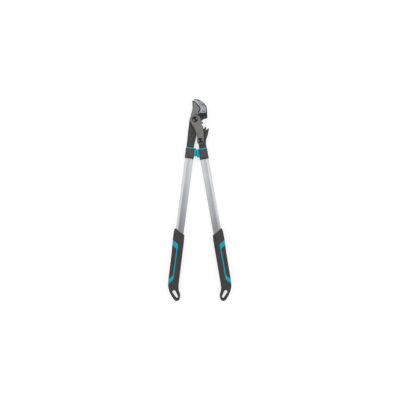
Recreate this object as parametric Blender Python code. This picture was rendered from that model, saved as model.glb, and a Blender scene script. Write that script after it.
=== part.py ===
# A geared bypass lopper, shut and lying flat. Lengths are in metres and angles in degrees.
# +Y points to the tip of the blade, +X to the right handle, and +Z up from the surface that it lies on.
# The origin is the rear end of the main bolt, on that bolt's axis.
#
# The blade and two link plates make the head, held together by the main bolt and the lower bolt.
# The hook turns on the main bolt and is one forging with the left arm and a sector of gear teeth.
# The right arm turns on the lower bolt, and its own teeth drive the hook's.
# On a handle, u runs across it towards its outer side and w runs down it from the top of its collar.

from math import acos, atan2, ceil, cos, degrees, hypot, pi, radians, sin, tan

import bmesh
import bpy
from mathutils import Matrix, Vector
from mathutils.geometry import delaunay_2d_cdt

# Fits
GAP = 0.0003                    # clearance between any two pieces
ROUND_STEPS = 32                # sides of a bolt, bush or bore
CORNER_STEP = 18.0              # most that a rounded corner turns between two of its points

# Gear train
MODULE = 0.003
HOOK_GEAR_TEETH = 16            # teeth of the whole wheel that the hook's sector belongs to
ARM_GEAR_TEETH = 28             # the same for the right arm's sector
PRESSURE_ANGLE = 20.0
TOOTH_HEIGHT = 0.9              # above the pitch circle, in modules
TOOTH_DEPTH = 1.3               # below the pitch circle, in modules
BACKLASH = 0.0006
FLANK_STEPS = 4
ROOT_FLARE = 0.6                # degrees by which each flank steps out at its root
GEAR_PHASE = 0.25               # of a tooth's pitch, from the line of centres to the hook's nearest tooth
LINK_LEAN = 13.8                # from straight down towards the right handle

# Layers, from the surface up
NUT_HEIGHT = 0.0059
LINK_THICKNESS = 0.003
LEVER_THICKNESS = 0.007
BLADE_THICKNESS = 0.0035
BOLT_HEAD_HEIGHT = 0.0044
FORGED_RELIEF = 0.0005          # unground faces of the hook lie this much below its ground face
FORGED_CHAMFER = 0.0010
PLATE_CHAMFER = 0.0004

# Bolts and bushes
BOLT_SHANK_RADIUS = 0.005
BOLT_HEAD_RADIUS = 0.0085
BOLT_DOME_WIDTH = 0.0033        # of the rounded rim of the head
BOLT_DOME_HEIGHT = 0.0022
BOLT_SLOT_WIDTH = 0.0026
BOLT_SLOT_DEPTH = 0.0016
BOLT_SLOT_ANGLE = -58.0
NUT_ACROSS_FLATS = 0.017
BUSH_WALL = 0.002

# Link plates: sides at right angles to the line of centres, at shares of the centre distance
LINK_TOP_RADIUS = 0.0152
LINK_END_RADIUS = 0.0105
LINK_TOP_ARC = (118.0, 262.0)   # counted from the line of centres
LINK_END_ARC = (-68.0, 62.0)
LINK_LEFT_SIDE = [(0.16, -0.0128), (0.36, -0.0091), (0.58, -0.0062), (0.78, -0.0074)]
LINK_RIGHT_SIDE = [(0.82, 0.0130), (0.66, 0.0149), (0.48, 0.0160), (0.26, 0.0162), (0.06, 0.0160)]

# Blade: its back from the tip down, and its cutting edge from the link up to the tip
BLADE_BACK = [(-0.0064, 0.0552), (-0.0083, 0.0535), (-0.0080, 0.0500), (-0.0074, 0.0400),
              (-0.0077, 0.0290), (-0.0098, 0.0207), (-0.0122, 0.0125)]
BLADE_EDGE = [(0.0078, 0.0140), (0.0108, 0.0184), (0.0146, 0.0240), (0.0164, 0.0305),
              (0.0147, 0.0368), (0.0098, 0.0426), (0.0032, 0.0488), (-0.0030, 0.0540)]
EDGE_BEVEL_WIDTH = 0.0032
EDGE_LAND = 0.0006              # thickness left at the cutting edge
EDGE_BEVEL_RAMP = (0, 4, 7)     # points of the edge before the bevel, where it grows and where it fades
BACK_BEVEL_WIDTH = 0.0034
BACK_BEVEL_DEPTH = 0.0010
BACK_BEVEL_RAMP = (4, 4, 7)
BLADE_SHOULDER_ARC = (168.0, 196.0)

# Hook: its outer side from the heel up to the tip, and its inner cutting curve back down
BOSS_RADIUS = 0.0155
HEEL_CORNER = (0.0370, 0.0039)
HEEL_UNDERSIDE = [(0.0198, -0.0040), (0.0246, 0.0000)]     # from the gear outwards
HEEL_ROUND = 0.0020
HOOK_OUTER = [(0.0366, 0.0100), (0.0360, 0.0180), (0.0355, 0.0270), (0.0340, 0.0370), (0.0297, 0.0450),
              (0.0205, 0.0530), (0.0110, 0.0583), (0.0030, 0.0607), (-0.0012, 0.0607)]
HOOK_TIP = [(-0.0031, 0.0593), (-0.0033, 0.0560)]
HOOK_INNER = [(-0.0010, 0.0500), (0.0050, 0.0435), (0.0097, 0.0370), (0.0113, 0.0300), (0.0098, 0.0235),
              (0.0068, 0.0180), (0.0040, 0.0145)]
LAND_END = 0.0195               # height of the straight lower end of the ground face
LAND_TOE = (0.0112, 0.0158)     # point that it runs down to beside the blade
LAND_TOE_ROOT = 0.0140          # across the tool, where the toe leaves the straight end
LAND_BORDER_LOW = 0.0056        # unground border beside it, at its lower end
LAND_BORDER_TIP = 0.0007        # and at the tip
LAND_BORDER_RUN = 0.6           # of the outer side, over which it narrows
HEEL_ROOT = 0.55                # of a tooth's pitch past the last tooth, where the heel leaves the gear
HOOK_CHAMFER_START = 0.0293     # across the tool, on the rim of the hook's rear face

# Arms of the two levers, as (outwards, down) from their pivots along the handles
LEFT_LEAN = 7.4
RIGHT_LEAN = 10.1
RIGHT_NECK = 0.0226             # from the lower pivot down to the collar's top
LEFT_RISE = 0.0026              # the left collar sits this much higher than the right one
HANDLE_OFFSET = 0.0023          # from a lever's pivot out to the axis of its tube
NECK_OUTER = 0.0148
NECK_INNER = -0.0073
LEFT_ARM_OUTER = [(0.0150, -0.0040), (0.0160, 0.0060), (0.0158, 0.0200), (0.0158, 0.0400),
                  (0.0150, 0.0600)]
LEFT_ARM_INNER = [(-0.0080, 0.0720), (-0.0096, 0.0600), (-0.0105, 0.0470), (-0.0084, 0.0385),
                  (-0.0052, 0.0318), (-0.0026, 0.0272)]
LEFT_CHAMFER_START = 0.0312     # down the inner side, clear of the teeth
RIGHT_ARM_OUTER = [(0.0246, -0.0132), (0.0209, -0.0066), (0.0166, 0.0030), (0.0149, 0.0130)]
RIGHT_ARM_INNER = [(-0.0073, 0.0158), (-0.0049, 0.0)]
RIGHT_BOSS_RADIUS = 0.0098
FAN_MARGIN = 6.2                # from the centres of the fan's two outermost teeth to its sides
FAN_LEFT_WAIST = (-0.0100, 0.0180)  # across and up from the lower pivot
FAN_CHAMFER_STOP = 0.0025       # below the root circle

# Tang of each arm, which runs into the tube in a plastic insert, and the pin that holds them
TANG_WIDTH = 0.0125
TANG_OFFSET = 0.0010            # from the tube's axis towards the outer side
TANG_LENGTH = 0.062
TANG_ROOT = 0.0031              # overlap with the neck that it grows from
INSERT_LENGTH = 0.068
PIN_RADIUS = 0.0025
PIN_STEPS = 16
PIN_DROP = 0.020                # from the collar's top

# Tubes: oval with a crease along the front and the back, nearer to the outer side
TUBE_WIDTH = 0.0245
TUBE_DEPTH = 0.0170
TUBE_WALL = 0.0016
TUBE_CREASE = 0.0041            # from the axis towards the outer side
TUBE_FULLNESS = 0.75            # lower is fuller
CREASE_SWEEP = 65.0             # higher is a softer crease
TUBE_END = 0.3925               # from the collar's top
TUBE_STEPS = 9                  # points on each quarter of the oval

# Collars, with a coloured trim that ends in a bumper on the inner side
COLLAR_LENGTH = 0.0330
COLLAR_WIDTH = 0.0272
COLLAR_DEPTH = 0.0212
COLLAR_TOP_WALL = 0.0026
COLLAR_SQUARENESS = 3.0
COLLAR_STEPS = 28
COLLAR_EDGE = (0.0012, 0.0004)  # length and depth of its rounded ends
TRIM_THICKNESS = 0.0030
TRIM_EDGE = (0.0009, 0.0008)
BUMPER_TOP = 0.0008             # down from the trim's top
BUMPER_PLANE = 0.0046           # across the tool, where the two bumpers meet
BUMPER_LENGTH = 0.0245
BUMPER_DEPTH = 0.0130
BUMPER_ROUND = 0.0030

# Grips: ribs as (beyond the tube's inner side, w there, beyond its outer side, w there)
GRIP_DEPTH = 0.0259
GRIP_RIBS = [
    (0.00285, 0.2600, 0.00335, 0.2432),
    (0.00375, 0.2690, 0.00475, 0.2545),
    (0.00435, 0.2860, 0.00515, 0.2750),
    (0.00455, 0.3160, 0.00345, 0.3100),
    (0.00485, 0.3500, 0.00285, 0.3500),
    (0.00505, 0.3840, 0.00265, 0.3860),
    (0.00525, 0.4040, 0.00205, 0.4080),
    (0.00615, 0.4170, -0.00005, 0.4200),
    (0.00855, 0.4265, -0.00535, 0.4328),
    (0.01230, 0.4331, -0.01225, 0.4432),
    (0.01405, 0.4410, -0.01985, 0.4522),
    (0.01355, 0.4486, -0.02505, 0.4562),
    (0.01215, 0.4532, -0.02785, 0.4571),
    (0.00965, 0.4559, -0.02985, 0.4570),
]
GRIP_SHARES = [0.86, 0.95, 1.0, 1.0, 1.0, 1.0, 0.97, 0.90, 0.81, 0.74, 0.69, 0.64, 0.55, 0.38]  # of its depth
GRIP_STEPS = 20
GRIP_SQUARENESS = 2.5
RECESS_DEPTH = 0.0017           # of the seat of the inlay and the pad
SOCKET_FLOOR = 0.0015           # from the tube's end to the bottom of its socket

# Coloured inlay of each grip, a band that frames the palm pad on the outer side
INLAY_LINE = -0.0005            # inner side of its long thin part
INLAY_LINE_WIDTH = 0.0030
BAND_TOP = 0.2783               # upper side of the upper band, at the grip's outer side
BAND_TOP_SLOPE = 31.0
BAND_BOTTOM = 0.4140            # lower side of the lower band, at the grip's outer side
BAND_BOTTOM_SLOPE = 50.0
BAND_WIDTH = 0.0152
BAND_EDGE = 0.0165              # where along u the two sizes above are taken
BAND_ROUND = 0.0080
REACH = 0.0300                  # cutters run this far out past the grip

# Hang eye through the end of each grip, between two rounds of unlike size
EYE_TOP = (-0.0067, 0.4312)
EYE_TOP_RADIUS = 0.0051
EYE_LOW = (-0.0168, 0.4440)
EYE_LOW_RADIUS = 0.0034
EYE_STEP = 24.0

# Sizes that follow from those above
HOOK_PITCH_RADIUS = MODULE * HOOK_GEAR_TEETH / 2
ARM_PITCH_RADIUS = MODULE * ARM_GEAR_TEETH / 2
CENTRE_DISTANCE = HOOK_PITCH_RADIUS + ARM_PITCH_RADIUS
LINE_OF_CENTRES = -90.0 + LINK_LEAN
LOWER_PIVOT = (CENTRE_DISTANCE * cos(radians(LINE_OF_CENTRES)),
               CENTRE_DISTANCE * sin(radians(LINE_OF_CENTRES)))

Z_REAR_LINK = NUT_HEIGHT + GAP
Z_LEVER = Z_REAR_LINK + LINK_THICKNESS + GAP
Z_LEVER_TOP = Z_LEVER + LEVER_THICKNESS
Z_BLADE = Z_LEVER_TOP + GAP
Z_BLADE_TOP = Z_BLADE + BLADE_THICKNESS
Z_FRONT_LINK = Z_BLADE_TOP + GAP
Z_HEAD = Z_FRONT_LINK + LINK_THICKNESS + GAP
Z_TOP = Z_HEAD + BOLT_HEAD_HEIGHT
Z_MIDDLE = Z_LEVER + LEVER_THICKNESS / 2

BOLT_BORE = BOLT_SHANK_RADIUS + GAP
BUSH_RADIUS = BOLT_BORE + BUSH_WALL
LEVER_BORE = BUSH_RADIUS + GAP
COLLAR_TOP = TRIM_THICKNESS + GAP
TUBE_START = COLLAR_TOP + COLLAR_TOP_WALL + GAP
MERGE = 1e-6

LEFT = -1
RIGHT = 1
LEAN = {LEFT: -LEFT_LEAN, RIGHT: RIGHT_LEAN}
PIVOT = {LEFT: (0.0, 0.0), RIGHT: LOWER_PIVOT}


# Points and outlines

def polar(radius, angle, centre=(0.0, 0.0)):
    return (centre[0] + radius * cos(radians(angle)), centre[1] + radius * sin(radians(angle)))


def arc(radius, start, end, centre=(0.0, 0.0), most=360.0 / ROUND_STEPS):
    """Points along an arc, with no step longer than the given angle."""
    steps = max(1, ceil(abs(end - start) / most))
    return [polar(radius, start + (end - start) * i / steps, centre) for i in range(steps + 1)]


def circle(radius, centre=(0.0, 0.0), steps=ROUND_STEPS):
    return [polar(radius, 360.0 * i / steps, centre) for i in range(steps)]


def smooth(points, steps=3):
    """An open curve through the points."""
    ends = [points[0]] + list(points) + [points[-1]]
    curve = []
    for before, start, end, after in zip(ends, ends[1:], ends[2:], ends[3:]):
        for i in range(steps):
            t = i / steps
            curve.append(tuple(
                0.5 * (2 * b + (c - a) * t + (2 * a - 5 * b + 4 * c - d) * t ** 2
                       + (3 * b - a - 3 * c + d) * t ** 3)
                for a, b, c, d in zip(before, start, end, after)))
    return curve + [tuple(points[-1])]


def rounded(points, radius):
    """An open path whose inner corners are rounded."""
    path = [points[0]]
    for before, corner, after in zip(points, points[1:], points[2:]):
        corner = Vector(corner)
        back = (Vector(before) - corner).normalized()
        ahead = (Vector(after) - corner).normalized()
        half = back.angle(ahead) / 2
        centre = corner + (back + ahead).normalized() * radius / sin(half)
        first = corner + back * radius / tan(half) - centre
        turn = 180.0 - degrees(2 * half)
        if back.cross(ahead) > 0:
            turn = -turn
        start = degrees(atan2(first.y, first.x))
        path += arc(radius, start, start + turn, tuple(centre), CORNER_STEP)
    return path + [points[-1]]


def inset(outline, widths):
    """A closed anticlockwise outline moved in by its own width at each point."""
    moved = []
    for i, (point, width) in enumerate(zip(outline, widths)):
        along = Vector(outline[(i + 1) % len(outline)]) - Vector(outline[i - 1])
        normal = Vector((-along.y, along.x)).normalized()
        moved.append(tuple(Vector(point) + normal * width))
    return moved


def from_lever(side, point):
    """A point given outwards and down from a lever's pivot, in the tool's own axes from that pivot."""
    lean = radians(LEAN[side])
    x, y = side * point[0], -point[1]
    return (x * cos(lean) - y * sin(lean), x * sin(lean) + y * cos(lean))


def to_lever(side, point):
    """How far outwards and down from its lever's pivot a point lies."""
    lean = radians(LEAN[side])
    x, y = point[0] * cos(lean) + point[1] * sin(lean), point[1] * cos(lean) - point[0] * sin(lean)
    return (side * x, -y)


def area(outline):
    following = outline[1:] + outline[:1]
    return sum(a[0] * b[1] - b[0] * a[1] for a, b in zip(outline, following)) / 2


# Solids

def flat_region(solids, holes=()):
    """The union of the solid outlines less the holes, as points and triangles."""
    points, loops = [], []
    for outline in list(solids) + list(holes):
        outline = list(outline) if area(list(outline)) > 0 else list(reversed(outline))
        loops.append(list(range(len(points), len(points) + len(outline))))
        points += [Vector(point) for point in outline]
    found = delaunay_2d_cdt(points, [], loops, 1, MERGE)
    kept = []
    for face, sources in zip(found[2], found[5]):
        if min(sources) < len(solids) and max(sources) < len(solids):
            kept.append(face)
    return found[0], kept


def prism(region, low, high):
    """A flat region given thickness along Z."""
    points, triangles = region
    used = sorted({i for face in triangles for i in face})
    mesh = bmesh.new()
    bottom = {i: mesh.verts.new((points[i].x, points[i].y, low)) for i in used}
    top = {i: mesh.verts.new((points[i].x, points[i].y, high)) for i in used}
    edges = {(face[k], face[(k + 1) % len(face)]) for face in triangles for k in range(len(face))}
    for face in triangles:
        mesh.faces.new([top[i] for i in face])
        mesh.faces.new([bottom[i] for i in reversed(face)])
    for start, end in sorted(edges):
        if (end, start) not in edges:
            mesh.faces.new([bottom[start], bottom[end], top[end], top[start]])
    return mesh


def loft(rings):
    """A closed solid through rings of equally many points."""
    mesh = bmesh.new()
    rows = [[mesh.verts.new(point) for point in ring] for ring in rings]
    for lower, upper in zip(rows, rows[1:]):
        for i in range(len(lower)):
            j = (i + 1) % len(lower)
            mesh.faces.new([lower[i], lower[j], upper[j], upper[i]])
    mesh.faces.new(list(reversed(rows[0])))
    mesh.faces.new(rows[-1])
    bmesh.ops.recalc_face_normals(mesh, faces=mesh.faces)
    return mesh


def turned(profile, centre=(0.0, 0.0)):
    """A round solid from (radius, height) points, lowest first."""
    return loft([[(x, y, height) for x, y in circle(radius, centre)] for radius, height in profile])


def sleeve(outer, inner, start, end):
    """A straight tube along -Y between two closed loops of (x, z) points."""
    mesh = bmesh.new()
    rows = []
    for loop in (outer, inner):
        for y in (-start, -end):
            rows.append([mesh.verts.new((x, y, z)) for x, z in loop])
    near_outer, far_outer, near_inner, far_inner = rows
    for first, second in ((near_outer, far_outer), (far_outer, far_inner),
                          (far_inner, near_inner), (near_inner, near_outer)):
        for i in range(len(first)):
            j = (i + 1) % len(first)
            mesh.faces.new([first[i], first[j], second[j], second[i]])
    bmesh.ops.recalc_face_normals(mesh, faces=mesh.faces)
    return mesh


def chamfer_rims(mesh, width, levels, wanted=lambda point: True):
    """Chamfers the edges of a prism's two faces where both ends are wanted."""
    rims = []
    for edge in mesh.edges:
        flat = any(abs(edge.verts[0].co.z - z) < MERGE and abs(edge.verts[1].co.z - z) < MERGE
                   for z in levels)
        upright = [face for face in edge.link_faces if abs(face.normal.z) < 0.5]
        if flat and len(upright) == 1 and all(wanted(vert.co) for vert in edge.verts):
            rims.append(edge)
    bmesh.ops.bevel(mesh, geom=rims, offset=width, offset_type="OFFSET", segments=1, profile=0.5,
                    affect="EDGES", clamp_overlap=True)


# Objects

def finish(name, colour, roughness, metallic):
    material = bpy.data.materials.new(name)
    material.use_nodes = True
    shader = material.node_tree.nodes["Principled BSDF"]
    shader.inputs["Base Color"].default_value = (*colour, 1.0)
    shader.inputs["Roughness"].default_value = roughness
    shader.inputs["Metallic"].default_value = metallic
    material.diffuse_color = (*colour, 1.0)
    return material


def add(name, mesh, material=None, parent=None, at=(0.0, 0.0, 0.0), lean=0.0, sharp=35.0):
    """Makes an object from a mesh. Without a material it is a cutter."""
    bmesh.ops.recalc_face_normals(mesh, faces=mesh.faces)
    data = bpy.data.meshes.new(name)
    mesh.to_mesh(data)
    mesh.free()
    data.shade_smooth()
    data.set_sharp_from_angle(angle=radians(sharp))
    piece = bpy.data.objects.new(name, data)
    bpy.context.scene.collection.objects.link(piece)
    piece.location = at
    piece.rotation_euler.z = radians(lean)
    piece.parent = parent
    if material:
        data.materials.append(material)
    else:
        piece.hide_render = True
        piece.display_type = "WIRE"
    return piece


def cut(piece, cutter, operation="DIFFERENCE"):
    boolean = piece.modifiers.new(cutter.name, "BOOLEAN")
    boolean.operation = operation
    boolean.solver = "EXACT"
    boolean.object = cutter


# Gear teeth

def tooth(teeth, angle):
    """One involute tooth, anticlockwise from root to root."""
    pitch = MODULE * teeth / 2
    base = pitch * cos(radians(PRESSURE_ANGLE))
    root = pitch - TOOTH_DEPTH * MODULE
    tip = pitch + TOOTH_HEIGHT * MODULE

    def half_width(radius):
        roll = acos(min(1.0, base / radius))
        at_pitch = radians(PRESSURE_ANGLE)
        swing = tan(at_pitch) - at_pitch - (tan(roll) - roll)
        return degrees(pi / (2 * teeth) - BACKLASH / (4 * pitch) + swing)

    flank = [(root, half_width(base) + ROOT_FLARE)]
    for i in range(FLANK_STEPS + 1):
        radius = base + (tip - base) * i / FLANK_STEPS
        flank.append((radius, half_width(radius)))
    rising = [polar(radius, angle - half) for radius, half in flank]
    falling = [polar(radius, angle + half) for radius, half in reversed(flank)]
    return rising + falling


def tooth_angles(teeth, line, first, last, phase):
    return [line + (k + phase) * 360.0 / teeth for k in range(first, last + 1)]


# The head: blade, links, bolts, nuts and bushes

def from_link(along, across):
    """A point given along the line of centres and across it to the right."""
    line = radians(LINE_OF_CENTRES)
    return (along * cos(line) - across * sin(line), along * sin(line) + across * cos(line))


def link_sides(margin=0.0):
    left = [from_link(share * CENTRE_DISTANCE, across + margin) for share, across in LINK_LEFT_SIDE]
    right = [from_link(share * CENTRE_DISTANCE, across - margin) for share, across in LINK_RIGHT_SIDE]
    return left, right


def link_end(radius):
    start, end = LINK_END_ARC
    return arc(radius, LINE_OF_CENTRES + start, LINE_OF_CENTRES + end, LOWER_PIVOT)


def link_outline():
    left, right = link_sides()
    start, stop = LINK_TOP_ARC
    top = arc(LINK_TOP_RADIUS, LINE_OF_CENTRES + start, LINE_OF_CENTRES + stop)
    end = link_end(LINK_END_RADIUS)
    left_side = smooth([top[-1]] + left + [end[0]])[1:-1]
    right_side = smooth([end[-1]] + right + [top[0]])[1:-1]
    return left_side + end + right_side + top


def make_link(name, low, material):
    bores = [circle(BOLT_BORE), circle(BOLT_BORE, LOWER_PIVOT)]
    mesh = prism(flat_region([link_outline()], bores), low, low + LINK_THICKNESS)
    chamfer_rims(mesh, PLATE_CHAMFER, (low, low + LINK_THICKNESS))
    return add(name, mesh, material)


def make_blade(material):
    """The blade, with a tang under the front link down to the lower bolt."""
    left, right = link_sides(GAP)
    end = link_end(LINK_END_RADIUS - GAP)
    shoulder = arc(LINK_TOP_RADIUS - GAP, *BLADE_SHOULDER_ARC)
    back = smooth(BLADE_BACK + [shoulder[0]])[:-1]
    edge = smooth(BLADE_EDGE + [BLADE_BACK[0]])[:-1]
    tang = shoulder + smooth([shoulder[-1]] + left + [end[0]])[1:-1] + end
    tang += smooth([end[-1]] + right + [edge[0]])[1:-1]
    outline = back + tang + edge

    def ramp(count, start, rise, fade):
        """A share for each point, nought at both ends and one between."""
        return [max(0.0, min(1.0, (i - start) / rise, (count - 1 - i) / fade)) for i in range(count)]

    back_bevel = [BACK_BEVEL_WIDTH * share for share in ramp(len(back), *BACK_BEVEL_RAMP)]
    edge_bevel = [EDGE_BEVEL_WIDTH * share for share in ramp(len(edge), *EDGE_BEVEL_RAMP)]
    flat = [0.0] * len(tang)
    slope = (BLADE_THICKNESS - EDGE_LAND - BACK_BEVEL_DEPTH) / (BLADE_THICKNESS - EDGE_LAND)
    levels = [
        (Z_BLADE, 0.0, 0.0),
        (Z_BLADE + EDGE_LAND, 0.0, 0.0),
        (Z_BLADE_TOP - BACK_BEVEL_DEPTH, 0.0, slope),
        (Z_BLADE_TOP, 1.0, 1.0),
    ]
    rings = []
    for height, back_share, edge_share in levels:
        widths = [w * back_share for w in back_bevel] + flat + [w * edge_share for w in edge_bevel]
        rings.append([(x, y, height) for x, y in inset(outline, widths)])
    blade = add("blade", loft(rings), material)
    for name, centre in (("blade_main_bore", (0.0, 0.0)), ("blade_lower_bore", LOWER_PIVOT)):
        bore = turned([(BOLT_BORE, Z_BLADE - GAP), (BOLT_BORE, Z_BLADE_TOP + GAP)], centre)
        cut(blade, add(name, bore))
    return blade


def make_bolt(name, centre, material):
    profile = [(BOLT_SHANK_RADIUS, 0.0), (BOLT_SHANK_RADIUS, Z_HEAD), (BOLT_HEAD_RADIUS, Z_HEAD)]
    for angle in (0.0, 30.0, 60.0, 90.0):
        across, up = polar(1.0, angle)
        radius = BOLT_HEAD_RADIUS - BOLT_DOME_WIDTH * (1 - across)
        profile.append((radius, Z_TOP - BOLT_DOME_HEIGHT * (1 - up)))
    bolt = add(name, turned(profile, centre), material)
    reach, half = 2 * BOLT_HEAD_RADIUS, BOLT_SLOT_WIDTH / 2
    turn = Matrix.Rotation(radians(BOLT_SLOT_ANGLE), 2)
    corners = [(-reach, -half), (reach, -half), (reach, half), (-reach, half)]
    outline = [tuple(turn @ Vector(corner) + Vector(centre)) for corner in corners]
    slot = prism(flat_region([outline]), Z_TOP - BOLT_SLOT_DEPTH, Z_TOP + BOLT_HEAD_HEIGHT)
    cut(bolt, add(name + "_slot", slot))
    return bolt


def make_nut(name, centre, material):
    hexagon = [polar(NUT_ACROSS_FLATS / 2 / cos(radians(30.0)), 60.0 * i + LINE_OF_CENTRES, centre)
               for i in range(6)]
    mesh = prism(flat_region([hexagon], [circle(BOLT_BORE, centre)]), 0.0, NUT_HEIGHT)
    return add(name, mesh, material, sharp=20.0)


def make_bush(name, centre, material):
    region = flat_region([circle(BUSH_RADIUS, centre)], [circle(BOLT_BORE, centre)])
    return add(name, prism(region, Z_LEVER, Z_LEVER_TOP), material)


# The two levers

def neck_length(side):
    """From a lever's pivot down its handle to the collar's top."""
    if side == RIGHT:
        return RIGHT_NECK
    level = LOWER_PIVOT[1] - RIGHT_NECK * cos(radians(RIGHT_LEAN)) + LEFT_RISE
    return -level / cos(radians(LEFT_LEAN))


def tang_outline(side):
    """The tang, from inside the neck down to its end in the tube."""
    middle = HANDLE_OFFSET + TANG_OFFSET
    near, far = middle - TANG_WIDTH / 2, middle + TANG_WIDTH / 2
    top = neck_length(side) - TANG_ROOT
    end = neck_length(side) + TANG_LENGTH
    corners = [(near, top), (near, end), (far, end), (far, top)]
    return [from_lever(side, point) for point in corners]


def sector(teeth, angles, start, end):
    """A fan of gear teeth from its pivot, between two angles."""
    root = MODULE * teeth / 2 - TOOTH_DEPTH * MODULE
    outline = [(0.0, 0.0), polar(root, start)]
    for angle in angles:
        outline += tooth(teeth, angle)
    return outline + [polar(root, end)]


def pin_hole(side):
    centre = from_lever(side, (HANDLE_OFFSET + TANG_OFFSET, neck_length(side) + PIN_DROP))
    return circle(PIN_RADIUS + GAP, centre, PIN_STEPS)


def hook_land():
    """The ground face of the hook, carried on over the open jaw so that its cutting curve stays sharp."""
    outer = smooth(HOOK_OUTER)
    count = len(outer)
    edge = []
    for i in range(count):
        narrowed = min(1.0, i / (LAND_BORDER_RUN * count))
        border = LAND_BORDER_LOW + (LAND_BORDER_TIP - LAND_BORDER_LOW) * narrowed
        along = Vector(outer[min(i + 1, count - 1)]) - Vector(outer[max(i - 1, 0)])
        inwards = Vector((-along.y, along.x)).normalized()
        point = Vector(outer[i]) + inwards * border
        if point.y > LAND_END:
            edge.append(tuple(point))
    far = -2 * BOSS_RADIUS
    toe = [(far, LAND_TOE[1]), LAND_TOE, (LAND_TOE_ROOT, LAND_END)]
    return [(edge[0][0], LAND_END)] + edge + [(far, HOOK_OUTER[-1][1])] + toe


def make_hook_lever(material, parent):
    step = 360.0 / HOOK_GEAR_TEETH
    angles = tooth_angles(HOOK_GEAR_TEETH, LINE_OF_CENTRES, -1, 2, GEAR_PHASE)
    root = HOOK_PITCH_RADIUS - TOOTH_DEPTH * MODULE
    gear = sector(HOOK_GEAR_TEETH, angles, angles[0] - step / 2, angles[-1] + step)
    heel = [polar(root - FORGED_RELIEF, angles[-1] + HEEL_ROOT * step)] + HEEL_UNDERSIDE + [HEEL_CORNER]
    hook = [(0.0, 0.0)] + rounded(heel + [HOOK_OUTER[0]], HEEL_ROUND)[:-1]
    hook += smooth(HOOK_OUTER + HOOK_TIP + HOOK_INNER)
    neck = neck_length(LEFT) - GAP
    outer = smooth(LEFT_ARM_OUTER + [(NECK_OUTER, neck)])
    inner = smooth([(NECK_INNER, neck)] + LEFT_ARM_INNER)
    arm = [(0.0, 0.0)] + [from_lever(LEFT, point) for point in outer + inner]
    solids = [circle(BOSS_RADIUS), gear, hook, arm, tang_outline(LEFT)]
    mesh = prism(flat_region(solids, [circle(LEVER_BORE), pin_hole(LEFT)]), Z_LEVER, Z_LEVER_TOP)

    def on_arm(point):
        u, w = to_lever(LEFT, point)
        beside_boss = u > 0 and w > 0 and hypot(u, w) > BOSS_RADIUS + GAP
        return (beside_boss or w > LEFT_CHAMFER_START) and w < neck - GAP

    def on_hook(point):
        return point.x > HOOK_CHAMFER_START and point.y > HEEL_CORNER[1]

    chamfer_rims(mesh, FORGED_CHAMFER + FORGED_RELIEF, (Z_LEVER_TOP,), on_arm)
    chamfer_rims(mesh, FORGED_CHAMFER, (Z_LEVER,), lambda point: on_arm(point) or on_hook(point))
    lever = add("hook_lever", mesh, material, parent)
    far = 2 * neck_length(LEFT)
    everything = [(-far, -far), (far, -far), (far, far), (-far, far)]
    unground = flat_region([everything], [hook_land(), circle(BOSS_RADIUS)])
    relief = prism(unground, Z_LEVER_TOP - FORGED_RELIEF, Z_LEVER_TOP + LEVER_THICKNESS)
    cut(lever, add("hook_relief", relief, parent=parent))
    return lever


def make_gear_lever(material, parent):
    line = LINE_OF_CENTRES + 180.0
    angles = tooth_angles(ARM_GEAR_TEETH, line, -4, 0, 0.5 - GEAR_PHASE)
    fan = sector(ARM_GEAR_TEETH, angles, angles[0] - FAN_MARGIN, angles[-1] + FAN_MARGIN)
    root = ARM_PITCH_RADIUS - TOOTH_DEPTH * MODULE
    left_edge = [polar(root, angles[-1] + FAN_MARGIN), FAN_LEFT_WAIST]
    left_edge.append(polar(RIGHT_BOSS_RADIUS, 180.0 + RIGHT_LEAN))
    side = [(0.0, 0.0), polar(root, angles[-1])] + smooth(left_edge)
    neck = neck_length(RIGHT) - GAP
    outer = [from_lever(RIGHT, point) for point in RIGHT_ARM_OUTER + [(NECK_OUTER, neck)]]
    inner = [from_lever(RIGHT, point) for point in [(NECK_INNER, neck)] + RIGHT_ARM_INNER]
    arm = [polar(root, angles[0])] + smooth([polar(root, angles[0] - FAN_MARGIN)] + outer) + inner
    solids = [circle(RIGHT_BOSS_RADIUS), fan, side, arm, tang_outline(RIGHT)]
    high = Z_LEVER_TOP - FORGED_RELIEF
    mesh = prism(flat_region(solids, [circle(LEVER_BORE), pin_hole(RIGHT)]), Z_LEVER, high)

    def on_arm(point):
        u, w = to_lever(RIGHT, point)
        return u > RIGHT_BOSS_RADIUS and w < neck - GAP and hypot(u, w) < root - FAN_CHAMFER_STOP

    chamfer_rims(mesh, FORGED_CHAMFER, (Z_LEVER, high), on_arm)
    return add("gear_lever", mesh, material, parent)


# The handles

def oval(width, depth, crease=TUBE_CREASE):
    """The tube's section as (u, z) points from its outer side, with a crease front and back."""
    sweep = radians(CREASE_SWEEP)
    quarter = [sweep * i / (TUBE_STEPS - 1) for i in range(TUBE_STEPS)]

    def along(angle):
        return (cos(angle) - cos(sweep)) / (1 - cos(sweep))

    def height(angle):
        return depth / 2 * (sin(angle) / sin(sweep)) ** TUBE_FULLNESS

    outer = [(crease + (width / 2 - crease) * along(t), height(t)) for t in quarter]
    inner = [(crease - (width / 2 + crease) * along(t), height(t)) for t in reversed(quarter[:-1])]
    front = outer + inner
    return front + [(u, -z) for u, z in reversed(front[1:-1])]


def squared_oval(steps, power):
    """A unit superellipse with a flat facet on each of its four sides."""
    fit = cos(pi / steps) ** (2 / power)
    loop = []
    for i in range(steps):
        angle = 2 * pi * (i + 0.5) / steps
        x, y = cos(angle), sin(angle)
        loop.append((abs(x) ** (2 / power) / fit * (1 if x > 0 else -1),
                     abs(y) ** (2 / power) / fit * (1 if y > 0 else -1)))
    return loop


def handle_place(side):
    x, y = from_lever(side, (HANDLE_OFFSET, neck_length(side)))
    return {"at": (x, y, Z_MIDDLE), "lean": LEAN[side]}


def mirrored(side, loop):
    return [(side * u, z) for u, z in loop]


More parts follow.
